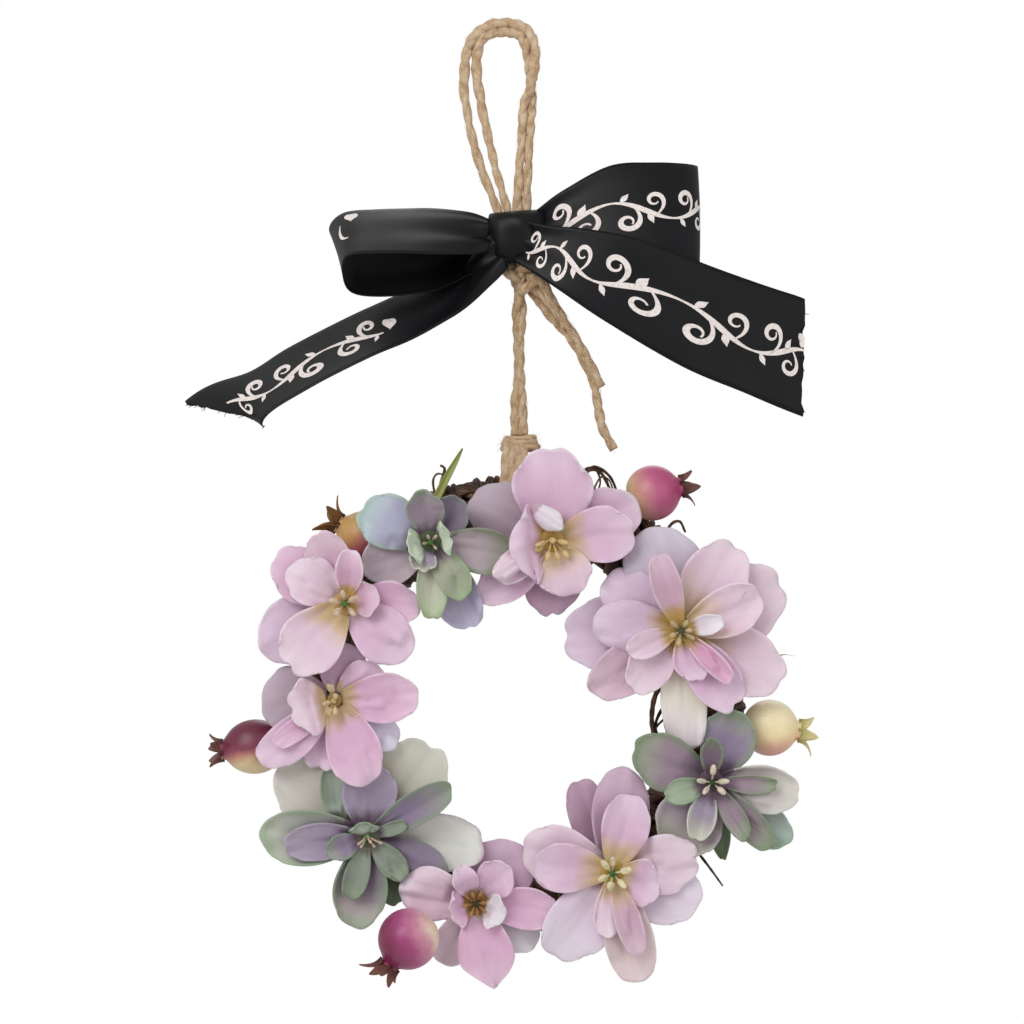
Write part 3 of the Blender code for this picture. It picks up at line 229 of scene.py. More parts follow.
# Jute: the routes of its strands, the same lines as the solids they stand for
twine = {"radius": 1.2, "plyRadius": 0.74, "plyOffset": 0.27, "pitch": 8.4, "step": 0.5, "sides": 8,
         "uneven": 0.11, "plyTwist": 1.0, "fibresPerMm": 2.2, "fibreRadius": 0.045, "fibreLength": (1.2, 3.6),
         "fibreLift": (0.15, 0.8), "archSwell": 0.17, "archAt": 0.48, "archReach": 0.12,
         "colours": ("96714a", "cba680", "e2c6a2", "f2e0c8")}
loopOuter = [
    (-2.3, 0.0, -53.9), (-2.3, 0.0, -47.0), (-2.35, 0.0, -42.8), (-6.5, 0.0, -32.5), (-9.4, 0.0, -22.5),
    (-10.9, 0.0, -13.0), (-10.6, 0.0, -4.5), (-8.2, 0.0, 0.8), (-3.0, 0.0, 3.4), (2.2, 0.0, 3.1),
    (5.6, -0.3, -0.6), (5.9, -1.2, -6.5), (5.0, -1.1, -11.5), (3.3, 0.0, -16.5), (2.8, 0.0, -25.0),
    (2.0, 0.0, -35.0), (1.8, 0.0, -46.0), (2.4, 0.0, -56.0),
]
loopInner = [
    (-0.2, 0.0, -53.9), (-0.2, 0.0, -47.0), (-0.6, 0.0, -41.5), (-3.2, 0.0, -32.5), (-5.2, 0.0, -24.0),
    (-6.9, 0.0, -15.5), (-8.1, 0.0, -7.5), (-7.2, 0.0, -1.1), (-3.9, 0.0, 1.1), (0.0, 0.0, 1.4),
    (2.7, 0.2, 0.2), (4.4, 0.8, -4.5), (5.0, 1.2, -9.5), (5.2, 0.6, -15.5), (5.0, 0.0, -21.0),
    (4.4, 0.0, -30.0), (3.9, 0.0, -40.0), (3.9, 0.0, -47.0), (4.4, 0.0, -56.0),
]
knot = {"x": 3.2, "z": -56.9, "wide": 4.3, "tall": 2.9, "deep": 2.0, "steps": 90,
        "wrap": ((5.0, -1.5, -59.4), 2.5, 1.9, 58),
        "end": [(5.4, -1.4, -59.4), (8.8, -1.6, -63.0), (11.6, -1.2, -66.4), (13.6, -1.0, -69.2)]}
stem = {"top": (2.2, -55.4), "foot": (2.2, -95.3), "steps": 77, "turns": (150, 60, -40, -60, -20, 0),
        "apart": (1.0, 0.85, 0.4, 0.35, 0.9, 1.0)}
binding = {"turns": 4, "width": 6.8, "middle": 1.2, "high": 10.1, "deep": 9.2, "peak": 6.6, "gather": 0.3,
           "steps": 70, "ring": (1.5, -159.8, 46.4)}
collar = {"wide": 4.5, "deep": 3.2, "z": -95.6, "tilt": 0.5, "coils": 3.0, "drop": 1.1,
          "radius": 0.8, "gather": 0.34, "steps": 46}
tailShort = [(5.0, -4.6, -57.2), (7.6, -4.3, -59.0), (9.8, -3.0, -62.6), (12.6, -2.0, -67.2),
             (16.2, -1.8, -72.8), (19.2, -1.8, -78.4), (21.9, -1.8, -83.7)]
tailLong = [(5.2, 0.9, -60.6), (7.4, 1.2, -63.6), (10.6, 1.3, -67.8), (14.6, 1.3, -72.0), (18.0, 1.3, -77.6),
            (20.4, 1.2, -84.0), (21.3, 1.0, -89.2), (22.4, 0.8, -94.0), (25.0, 0.6, -98.6)]


def juteMaterial():
    # Two-ply jute twine, spun from combed bast fibre: dull straw brown, streaked with pale and dark fibres
    material, tree, shader = newMaterial("spun_jute_twine", {
        "Roughness": 0.85, "IOR": 1.5, "Specular IOR Level": 0.2,
        "Sheen Weight": 0.1, "Sheen Roughness": 0.5})
    lay = addNode(tree, "ShaderNodeAttribute", {"attribute_name": "grain"})
    drawn = addNode(tree, "ShaderNodeMapping", {"Scale": (2.6, 2.6, 0.34)}, {"Vector": lay.outputs["Vector"]})
    streak = addNode(tree, "ShaderNodeTexNoise", {"Scale": 1.7, "Detail": 5.0, "Roughness": 0.7},
                     {"Vector": drawn.outputs[0]})
    slow = addNode(tree, "ShaderNodeTexNoise", {"Scale": 0.4, "Detail": 2.0},
                   {"Vector": lay.outputs["Vector"]})
    both = addNode(tree, "ShaderNodeMix", {"data_type": "FLOAT", 0: 0.35}, {2: streak.outputs["Fac"],
                                                                           3: slow.outputs["Fac"]})
    places = (0.33, 0.43, 0.53, 0.66)
    ramp = addNode(tree, "ShaderNodeValToRGB", {"stops": list(zip(places, twine["colours"]))},
                   {"Fac": both.outputs[0]})
    tree.links.new(ramp.outputs["Color"], shader.inputs["Base Color"])
    bump = addNode(tree, "ShaderNodeBump", {"Strength": 1.0, "Distance": 0.36 * mm},
                   {"Height": streak.outputs["Fac"]})
    tree.links.new(bump.outputs[0], shader.inputs["Normal"])
    return material


def addPlies(shape, path, draw, radius=None, thin=None):  # two plies wound round a path
    radius = radius or twine["radius"]
    turns = pathLength(path) / twine["pitch"]
    start = draw.uniform(0, 2 * math.pi)
    frames = list(framesOf(path))
    for ply in (0, 1):
        centres, radii = [], []
        phase = draw.uniform(0, 9)
        for i, (spot, side, other) in enumerate(frames):
            share = i / (len(frames) - 1)
            turn = start + 2 * math.pi * turns * share + math.pi * ply
            slim = thin(share) if thin else 1.0
            spread = twine["plyOffset"] * radius * slim
            centres.append(spot + (side * math.cos(turn) + other * math.sin(turn)) * spread)
            swell = math.sin(i * 0.21 + phase) + math.sin(i * 0.083 + 2 * phase)
            radii.append(radius * twine["plyRadius"] * slim * (1 + twine["uneven"] * swell))
        points, faces, grain = sweep(centres, radii, twine["sides"], twine["plyTwist"])
        shift = draw.uniform(0, 500)
        shape.add(points, faces, grain=[(a, b, run + shift) for a, b, run in grain])


def addFibres(shape, path, draw, radius=None, density=1.0):  # short loose fibres that stand off a strand
    radius = radius or twine["radius"]
    frames = list(framesOf(path))
    count = round(pathLength(path) * twine["fibresPerMm"] * density)
    for _ in range(count):
        i = draw.randrange(1, len(frames) - 1)
        spot, side, other = frames[i]
        along = (path[i + 1] - path[i - 1]).normalized() * draw.choice((-1, 1))
        turn = draw.uniform(0, 2 * math.pi)
        out = side * math.cos(turn) + other * math.sin(turn)
        round_ = out.cross(along)
        length = draw.uniform(*twine["fibreLength"])
        lift = draw.uniform(*twine["fibreLift"]) * draw.random()
        lean = draw.uniform(-0.6, 0.9)
        line = []
        for k in range(5):
            t = k / 4
            ahead = along * length * t * (1 - 0.25 * t * lift)
            line.append(spot + out * (radius * 0.86 + lift * t * t) + ahead
                        + round_ * lean * length * 0.35 * t * t)
        radii = [twine["fibreRadius"] * (1 - 0.5 * k / 4) for k in range(5)]
        points, faces, grain = sweep(line, radii, 3)
        shift = draw.uniform(0, 500)
        shape.add(points, faces, grain=[(a, b, run + shift) for a, b, run in grain])


def archSwell(share):  # the loop's strands are pressed wide where they bend over the hook
    return 1 + twine["archSwell"] * math.exp(-((share - twine["archAt"]) / twine["archReach"]) ** 2)


def bindingTurn(across):  # one turn of twine round the ring's section, drawn up to the peak
    middleX, middleZ, radius = binding["ring"]
    path = []
    for i in range(binding["steps"] + 3):
        t = 2 * math.pi * (i + binding["steps"] / 2) / binding["steps"]
        peak = max(0.0, math.cos(t)) ** 3
        x = binding["middle"] + across * (1 - binding["gather"] * peak)
        middle = middleZ + math.sqrt(radius ** 2 - (x - middleX) ** 2)
        high = binding["high"] + binding["peak"] * peak
        path.append(Vector((x, binding["deep"] * math.sin(t), middle + high * math.cos(t))))
    return path


def stemStrands():
    lines = []
    turns = stem["turns"]
    (topX, topZ), (footX, footZ) = stem["top"], stem["foot"]
    for hand in (-1, 1):
        path = []
        for i in range(stem["steps"] + 1):
            t = i / stem["steps"]
            place = t * (len(turns) - 1)
            part = min(int(place), len(turns) - 2)
            turn = math.radians(turns[part] + (turns[part + 1] - turns[part]) * (place - part))
            apart = stem["apart"][part] + (stem["apart"][part + 1] - stem["apart"][part]) * (place - part)
            off = apart * hand
            path.append(Vector((topX + (footX - topX) * t + off * math.cos(turn), off * math.sin(turn),
                                topZ + (footZ - topZ) * t)))
        lines.append(path)
    return lines


def knotLine():
    path = []
    for i in range(knot["steps"] + 2):
        t = 2 * math.pi * i / knot["steps"]
        path.append(Vector((knot["x"] + knot["wide"] * (math.sin(t) + 2 * math.sin(2 * t)) / 3,
                            knot["deep"] * math.sin(3 * t),
                            knot["z"] + knot["tall"] * (math.cos(t) - 2 * math.cos(2 * t)) / 3)))
    return path


def knotWrap():  # a turn of twine that holds the two free ends against the knot
    (x, y, z), wide, deep, lean = knot["wrap"]
    lean = math.radians(lean)
    path = []
    for i in range(knot["steps"] // 2 + 2):
        t = 4 * math.pi * i / knot["steps"]
        path.append(Vector((x + wide * math.cos(t) * math.sin(lean), y + deep * math.sin(t),
                            z + wide * math.cos(t) * math.cos(lean))))
    return path


def makeJute():
    material = juteMaterial()
    draw = random.Random("jute")
    loose = Shape()
    pieces = {
        "jute_hanging_loop": [densePath(loopOuter, twine["step"]), densePath(loopInner, twine["step"])],
        "jute_stem": stemStrands() + [knotLine(), knotWrap(), densePath(knot["end"], twine["step"])],
    }
    for name, lines in pieces.items():
        shape = Shape()
        for line in lines:
            addPlies(shape, line, draw, thin=archSwell if name == "jute_hanging_loop" else None)
            addFibres(loose, line, draw)
        piece = shape.build(name + "_twine", [material])
        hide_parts(name)
    shape = Shape()
    count = binding["turns"]
    for k in range(count):
        across = binding["width"] * ((k + 0.5) / count - 0.5)
        line = bindingTurn(across)
        addPlies(shape, line, draw)
        addFibres(loose, line, draw, density=0.5)
    line = []
    count = round(collar["steps"] * collar["coils"])
    for i in range(count):
        t = math.pi / 2 + 2 * math.pi * i / collar["steps"]
        size = 1 - collar["gather"] * (1 - i / count) + 0.03 * math.sin(2.3 * t)
        level = collar["z"] + collar["tilt"] * math.cos(t) - collar["drop"] * i / collar["steps"]
        line.append(Vector((stem["foot"][0] + collar["wide"] * size * math.cos(t),
                            collar["deep"] * size * math.sin(t), level)))
    addPlies(shape, line, draw, collar["radius"])
    addFibres(loose, line, draw, collar["radius"])
    piece = shape.build("jute_binding_twine", [material])
    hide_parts("jute_binding")
    tails = []
    for name, route in (("jute_tail_short", tailShort), ("jute_tail_long", tailLong)):
        shape = Shape()
        line = densePath(route, twine["step"])
        addPlies(shape, line, draw)
        addFibres(loose, line, draw)
        piece = shape.build(name + "_twine", [material])
        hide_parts(name)
        tails.append((piece, route, pathLength(line)))
    fibres = loose.build("jute_loose_fibres", [material])
    for piece, route, length in tails:
        path = [tuple(spot * mm) for spot in smoothPath(route, 40)]
        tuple(path[0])
    print("jute:", len(pieces) + 4, "pieces")


# Ribbon: stations of each part are x, y, z of its middle, its width, the slant of its width direction from +X
# towards +Z, and how far that direction leans to the viewer
ribbon = {"thick": 0.3, "columns": 18, "step": 1.0, "pleats": 2.0, "pleatDepth": 0.8, "pleatReach": 9.0,
          "flat": (26.0, 400.0), "weavePitch": 0.5, "threads": {"left_tail": 26, "right_tail": 7},
          "cut": {"left_tail": 5.0}, "ragged": 0.35, "notch": (5, 6), "notchDepth": 1.2,
          "threadRadius": 0.07, "threadLength": (0.3, 1.3)}
ribbonParts = {
    "left_loop": [
        (-4.6, -2.2, -47.4, 9, -90, 25), (-12.0, -3.4, -46.6, 17, -90, 48), (-22.0, -4.2, -46.2, 25, -90, 60),
        (-32.0, -4.2, -46.4, 26, -90, 62), (-39.2, -3.8, -47.4, 26, -80, 62),
        (-41.4, -1.8, -51.2, 26, -70, 61), (-38.4, 0.6, -55.4, 26, -80, 62),
        (-30.0, 1.4, -56.4, 26, -90, 62), (-20.0, 1.0, -55.2, 25, -90, 58),
        (-12.0, 0.4, -52.4, 17, -90, 40), (-4.6, 0.0, -50.0, 9, -90, 20)],
    "right_loop": [
        (6.4, -2.0, -47.0, 11, -95, 0), (13.0, -6.0, -45.2, 17, -92, 12), (24.0, -8.0, -42.6, 24, -90, 18),
        (34.0, -8.0, -42.0, 25, -90, 20), (42.0, -6.0, -42.0, 25, -90, 20), (45.4, -1.5, -42.4, 25, -90, 20),
        (42.0, 3.5, -43.0, 25, -90, 20), (32.0, 5.0, -44.0, 25, -90, 20), (20.0, 4.2, -45.4, 22, -90, 16),
        (12.0, 3.0, -46.6, 16, -90, 10), (6.4, 1.2, -47.6, 11, -90, 0)],
    "right_tail": [
        (3.0, -5.6, -49.4, 10, -106, 0), (8.0, -8.8, -51.6, 12, -108, 0), (15.0, -11.8, -54.2, 16, -110, 0),
        (26.4, -13.2, -59.0, 21, -111, 0), (45.6, -12.0, -68.0, 25, -111, 6),
        (60.0, -9.0, -73.4, 26, -106, 4), (70.2, -7.0, -77.2, 28, -91, 0)],
    "left_tail": [
        (-2.5, -4.4, -51.2, 9, -62, 10), (-7.6, -4.0, -55.6, 13, -58, 40), (-16.8, -4.4, -62.4, 22, -56, 58),
        (-26.4, -5.6, -67.8, 25, -58, 60), (-36.0, -6.4, -72.4, 26, -60, 62),
        (-50.4, -5.4, -79.6, 26, -60, 62), (-61.4, -4.4, -86.0, 26, -58, 60),
        (-68.4, -4.2, -90.0, 26, -12, 32)],
}
band = {"x": 2.1, "z": -47.8, "tall": 6.1, "wide": 7.3, "back": 3.6, "front": 7.0, "foldDepth": 0.42,
        "steps": 84, "rows": 26}


def satinMaterial():
    # Polyester satin ribbon, woven with long floats and calendered: deep black, with a soft broad sheen
    material, tree, shader = newMaterial("woven_black_satin", {
        "Roughness": 0.4, "IOR": 1.5, "Specular IOR Level": 0.24, "Anisotropic": 0.5})
    lay = addNode(tree, "ShaderNodeAttribute", {"attribute_name": "cloth"})
    # one float is about 0.1 mm wide, too fine to show, so the ribs are drawn at half a millimetre
    scale = 0.314 / ribbon["weavePitch"]
    ribs = addNode(tree, "ShaderNodeTexWave", {"bands_direction": "X", "Scale": scale, "Distortion": 0.6,
                                               "Detail": 1.0}, {"Vector": lay.outputs["Vector"]})
    soft = addNode(tree, "ShaderNodeTexNoise", {"Scale": 0.1, "Detail": 2.0},
                   {"Vector": lay.outputs["Vector"]})
    ramp = addNode(tree, "ShaderNodeValToRGB", {"stops": [(0.35, "07080a"), (0.65, "0e0f13")]},
                   {"Fac": soft.outputs["Fac"]})
    tree.links.new(ramp.outputs["Color"], shader.inputs["Base Color"])
    worn = addNode(tree, "ShaderNodeMapRange", {"To Min": 0.34, "To Max": 0.5},
                   {"Value": soft.outputs["Fac"]})
    tree.links.new(worn.outputs[0], shader.inputs["Roughness"])
    bump = addNode(tree, "ShaderNodeBump", {"Strength": 0.25, "Distance": 0.03 * mm},
                   {"Height": ribs.outputs["Fac"]})
    tree.links.new(bump.outputs[0], shader.inputs["Normal"])
    return material


def satinBackMaterial():
    # The wrong side of single-face satin shows its short floats: flat black and without sheen
    material, tree, shader = newMaterial("woven_satin_back", {
        "Roughness": 0.85, "IOR": 1.5, "Specular IOR Level": 0.05})
    lay = addNode(tree, "ShaderNodeAttribute", {"attribute_name": "cloth"})
    soft = addNode(tree, "ShaderNodeTexNoise", {"Scale": 0.8, "Detail": 3.0},
                   {"Vector": lay.outputs["Vector"]})
    ramp = addNode(tree, "ShaderNodeValToRGB", {"stops": [(0.35, "030303"), (0.65, "060606")]},
                   {"Fac": soft.outputs["Fac"]})
    tree.links.new(ramp.outputs["Color"], shader.inputs["Base Color"])
    return material


def inkMaterial():
    # Screen-printed ivory ink: flat and matt, a little broken by the weave under it
    material, tree, shader = newMaterial("screen_printed_ink", {"Roughness": 0.6, "IOR": 1.5})
    lay = addNode(tree, "ShaderNodeAttribute", {"attribute_name": "cloth"})
    broken = addNode(tree, "ShaderNodeTexNoise", {"Scale": 2.5, "Detail": 3.0},
                     {"Vector": lay.outputs["Vector"]})
    ramp = addNode(tree, "ShaderNodeValToRGB", {"stops": [(0.3, "d9c9c4"), (0.5, "f1e6e2"), (0.8, "faf3f0")]},
                   {"Fac": broken.outputs["Fac"]})
    tree.links.new(ramp.outputs["Color"], shader.inputs["Base Color"])
    return material


def ribbonLength(name):
    return pathLength(smoothPath([s[:3] for s in ribbonParts[name]], 60))


# A point of a ribbon part, from mm along it and a share across, -0.5 to 0.5
def ribbonSpot(name, run, across):
    stations = ribbonParts[name]
    length = ribbonLengths[name]
    share = min(max(run / length, 0.0), 1.0)
    spot = pathAt([s[:3] for s in stations], share)
    width, slant, lean = pathAt([s[3:] for s in stations], share)
    slant, lean = math.radians(slant), math.radians(lean)
    way = Vector((math.cos(lean) * math.cos(slant), -math.sin(lean), math.cos(lean) * math.sin(slant)))
    before, after = pathAt([s[:3] for s in stations], max(0, share - 0.01)), pathAt(
        [s[:3] for s in stations], min(1, share + 0.01))
    out = (after - before).cross(way).normalized()
    near = min(run, length - run) if name.endswith("loop") else run
    pleat = ribbon["pleatDepth"] * math.exp(-near / ribbon["pleatReach"])
    lift = pleat * math.cos(2 * math.pi * ribbon["pleats"] * across + len(name))
    lift += 0.35 * math.sin(run * 0.11 + len(name)) * (across * 2) ** 2
    return spot + way * width * across + out * lift


def ribbonNormal(name, run, across):
    step, edge = 0.4, 0.02
    down = ribbonSpot(name, run + step, across) - ribbonSpot(name, run - step, across)
    side = ribbonSpot(name, run, across + edge) - ribbonSpot(name, run, across - edge)
    return down.cross(side).normalized()


def addSheet(shape, grid, normals, thick, marks, slot=0, backSlot=None):  # a closed thin sheet on a grid
    rows, columns = len(grid), len(grid[0])
    front = [grid[i][j] + normals[i][j] * thick / 2 for i in range(rows) for j in range(columns)]
    back = [grid[i][j] - normals[i][j] * thick / 2 for i in range(rows) for j in range(columns)]
    lift = rows * columns
    fronts, backs, edges = [], [], []
    for i in range(rows - 1):
        for j in range(columns - 1):
            a, b = i * columns + j, i * columns + j + 1
            c, d = a + columns, b + columns
            fronts.append((a, b, d, c))
            backs.append((a + lift, c + lift, d + lift, b + lift))
    rim = list(range(columns)) + [i * columns + columns - 1 for i in range(1, rows)]
    rim += [(rows - 1) * columns + j for j in range(columns - 2, -1, -1)]
    rim += [i * columns for i in range(rows - 2, 0, -1)]
    for k, a in enumerate(rim):
        b = rim[(k + 1) % len(rim)]
        edges.append((b, a, a + lift, b + lift))
    slots = [slot] * len(fronts) + [slot if backSlot is None else backSlot] * len(backs) + [slot] * len(edges)
    shape.add(front + back, fronts + backs + edges, slots,
              **{name: values + values for name, values in marks.items()})


def addRibbonPart(shape, name, draw):
    length = ribbonLengths[name]
    rows = round(length / ribbon["step"])
    columns = ribbon["columns"]
    grid, normals, cloth = [], [], []
    ragged = [draw.uniform(-ribbon["ragged"], ribbon["ragged"]) for _ in range(columns + 1)]
    if name == "right_tail":
        for j in ribbon["notch"]:
            ragged[j] -= ribbon["notchDepth"]
    for i in range(rows + 1):
        line, ups = [], []
        for j in range(columns + 1):
            across = j / columns - 0.5
            run = (length - ribbon["cut"].get(name, 0.0) * max(0.0, 2 * across) ** 2) * i / rows
            if i == rows and name.endswith("tail"):
                run += ragged[j] - 0.4
            line.append(ribbonSpot(name, run, across))
            ups.append(ribbonNormal(name, run, across))
            cloth.append((run, across * 26.0, float(len(name))))
        grid.append(line)
        normals.append(ups)
    slots = (0, 1) if inkFaces[name] else (1, 0)
    addSheet(shape, grid, normals, ribbon["thick"], {"cloth": cloth}, *slots)
    if name.endswith("tail"):
        addThreads(shape, grid[-1], grid[-2], ribbon["threads"][name], draw)


def addThreads(shape, line, before, count, draw):  # short threads that have come loose along a cut end
    for _ in range(count):
        place = draw.uniform(0, len(line) - 1.001)
        j = int(place)
        start = line[j].lerp(line[j + 1], place - j)
        way = (line[j] - before[j]).normalized()
        long = draw.uniform(*ribbon["threadLength"])
        lean = Vector((draw.uniform(-0.5, 0.5), draw.uniform(-0.4, 0.4), draw.uniform(-0.6, 0.3)))
        path = [start + way * (long * t - 0.3) + lean * long * t * t for t in (0, 0.25, 0.5, 0.75, 1)]
        points, faces, _ = sweep(path, [ribbon["threadRadius"]] * 5, 4)
        shape.add(points, faces, cloth=(0.0, 0.0, 0.0))


def addBand(shape):  # the short wrap over the bow's middle: it rolls over at top and foot, in soft pleats
    points, faces, cloth = [], [], []
    rows, steps = band["rows"], band["steps"]
    for i in range(rows + 1):
        level = 2 * i / rows - 1
        roll = math.sqrt(max(0.0, 1 - abs(level) ** 3.2))
        for k in range(steps):
            t = 2 * math.pi * k / steps
            fold = math.cos(5 * t + 1.1 * level) + 0.6 * math.cos(3 * t - 0.8 * level + 1)
            fold *= band["foldDepth"]
            deep = band["front"] if math.sin(t) < 0 else band["back"]
            x = band["x"] + band["wide"] * (0.93 + 0.07 * roll + 0.05 * level * math.cos(t)) * math.cos(t)
            y = (deep * (0.42 + 0.58 * roll) + fold * roll) * math.sin(t)
            points.append(Vector((x - 0.6 * level, y, band["z"] + band["tall"] * level + 0.5 * math.cos(t))))
            cloth.append((26.0 * k / steps, band["tall"] * level, 40.0))
    for i in range(rows):
        for k in range(steps):
            a, b = i * steps + k, i * steps + (k + 1) % steps
            faces.append((a, b, b + steps, a + steps))
    faces.append(tuple(range(steps))[::-1])
    faces.append(tuple(range(rows * steps, (rows + 1) * steps)))
    shape.add(points, faces, cloth=cloth)


# The print: a running scroll of curls, leaves and small hearts, drawn in mm along and across the ribbon
scroll = {"thin": 0.18, "thick": 0.66, "lift": 0.05, "step": 0.35, "unit": 12.0, "rise": 1.9, "narrow": 15.0,
          "columns": 4}


def curl(start, heading, length, bendStart, bendEnd):  # a line whose bend changes evenly, degrees per mm
    x, y = start
    heading = math.radians(heading)
    count = max(6, round(length / scroll["step"]))
    line = [(x, y)]
    for i in range(count):
        t = (i + 0.5) / count
        heading += math.radians(bendStart + (bendEnd - bendStart) * t) * length / count
        x += math.cos(heading) * length / count
        y += math.sin(heading) * length / count
        line.append((x, y))
    return line


def inkLine(line, thin, thick):  # a pen stroke that swells in its middle
    sides = []
    for i, (x, y) in enumerate(line):
        ax, ay = line[max(i - 1, 0)]
        bx, by = line[min(i + 1, len(line) - 1)]
        size = math.hypot(bx - ax, by - ay) or 1.0
        half = thin + (thick - thin) * max(0.0, math.sin(math.pi * i / (len(line) - 1))) ** 1.5
        sides.append(((x - (by - ay) / size * half, y + (bx - ax) / size * half),
                      (x + (by - ay) / size * half, y - (bx - ax) / size * half)))
    return sides


def inkLeaf(x, y, heading, size):
    heading = math.radians(heading)
    line = [(x + math.cos(heading) * size * t / 8, y + math.sin(heading) * size * t / 8) for t in range(9)]
    return inkLine(line, 0.03, size * 0.22)


def inkHeart(x, y, size, tilt=0.0):
    sides = []
    for i in range(13):
        t = math.pi * i / 12
        wide = size * math.sin(t) ** 3
        rise = size * (13 * math.cos(t) - 5 * math.cos(2 * t) - 2 * math.cos(3 * t) - math.cos(4 * t)) / 16
        turn = math.radians(tilt)
        spots = [(wide * hand * math.cos(turn) - rise * math.sin(turn) + x,
                  wide * hand * math.sin(turn) + rise * math.cos(turn) + y) for hand in (-1, 1)]
        sides.append(tuple(spots))
    return sides


def scrollUnit(x, hand, size):  # half a wave of the running line, with two curls and two leaves
    s = size / scroll["unit"]
    rise = scroll["rise"] * s * hand

    def on(share):
        return x + size * share, -rise * math.cos(math.pi * share)

    thin, thick = scroll["thin"], scroll["thick"]
    return [
        inkLine([on(i / 30) for i in range(31)], thin * 1.3, thick),
        inkLine(curl(on(0.3), 44 * hand, 13.4 * s, 5 * hand / s, 60 * hand / s), thin, thick),
        inkLine(curl(on(0.7), -44 * hand, 11.0 * s, -4 * hand / s, -64 * hand / s), thin, thick * 0.85),
        inkLeaf(*on(0.55), 66 * hand, 3.0 * s),
        inkLeaf(*on(0.12), -52 * hand, 2.6 * s),
    ]


def layInk(shape, name, strokes, middle, tall=1.0):
    length = ribbonLengths[name]
    columns = scroll["columns"]
    for sides in strokes:
        points, cloth = [], []
        for (startRun, startOff), (endRun, endOff) in sides:
            for k in range(columns + 1):
                run = min(max(startRun + (endRun - startRun) * k / columns, 0.1), length - 0.3)
                off = startOff + (endOff - startOff) * k / columns
                wide = pathAt([s[3:6] for s in ribbonParts[name]], run / length)[0]
                across = min(max((off * tall + middle) / max(scroll["narrow"], wide), -0.49), 0.49)
                spot = ribbonSpot(name, run, across)
                up = ribbonNormal(name, run, across)
                face = 1 if inkFaces[name] else -1
                points.append(spot + up * face * (ribbon["thick"] / 2 + scroll["lift"]))
                cloth.append((run, off, 7.0))
        faces = [(a, a + 1, a + columns + 2, a + columns + 1) for i in range(len(sides) - 1)
                 for a in range(i * (columns + 1), i * (columns + 1) + columns)]
        shape.add(points, faces, cloth=cloth)


ribbonLengths = {name: ribbonLength(name) for name in ribbonParts}
inkFaces = {name: ribbonNormal(name, 0.5 * ribbonLengths[name] if name.endswith("tail") else 20.0, 0.0).y < 0
            for name in ribbonParts}


def makeRibbon():
    draw = random.Random("ribbon")
    shape = Shape()
    for name in ribbonParts:
        addRibbonPart(shape, name, draw)
    addBand(shape)
    bow = shape.build("ribbon_bow_satin", [satinMaterial(), satinBackMaterial()])
    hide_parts("ribbon_bow")
    ink = Shape()
    for k in range(5):
        layInk(ink, "right_tail", scrollUnit(3.0 + 14.4 * k, 1 if k % 2 else -1, 14.4), 0.5)
    layInk(ink, "right_tail", [inkHeart(ribbonLengths["right_tail"] - 1.0, -4.0, 1.7, 70)], 0.0)
    for k in range(3):
        layInk(ink, "right_loop", scrollUnit(4.0 + 13.4 * k, 1 if k % 2 else -1, 13.4), 0.0)
    start = ribbonLengths["left_tail"]
    for k in range(3):
        layInk(ink, "left_tail", scrollUnit(start - 15.4 - 11.6 * k, 1 if k % 2 else -1, 11.6), 0.5, 1.55)
    layInk(ink, "left_tail", [inkHeart(start - 41.2, 0.0, 1.9, 160)], 0.0, 1.8)
    layInk(ink, "left_loop", [inkHeart(30.4, -6.4, 1.9, 180),
                              inkLine(curl((34.0, -4.4), 66, 8.4, 4, 24), 0.18, 0.6)], 0.0, 1.4)
    printed = ink.build("ribbon_printed_scroll", [inkMaterial()])
    width, length = ribbon["flat"]
    print("ribbon:", round(sum(ribbonLengths.values())), "mm in its four parts")


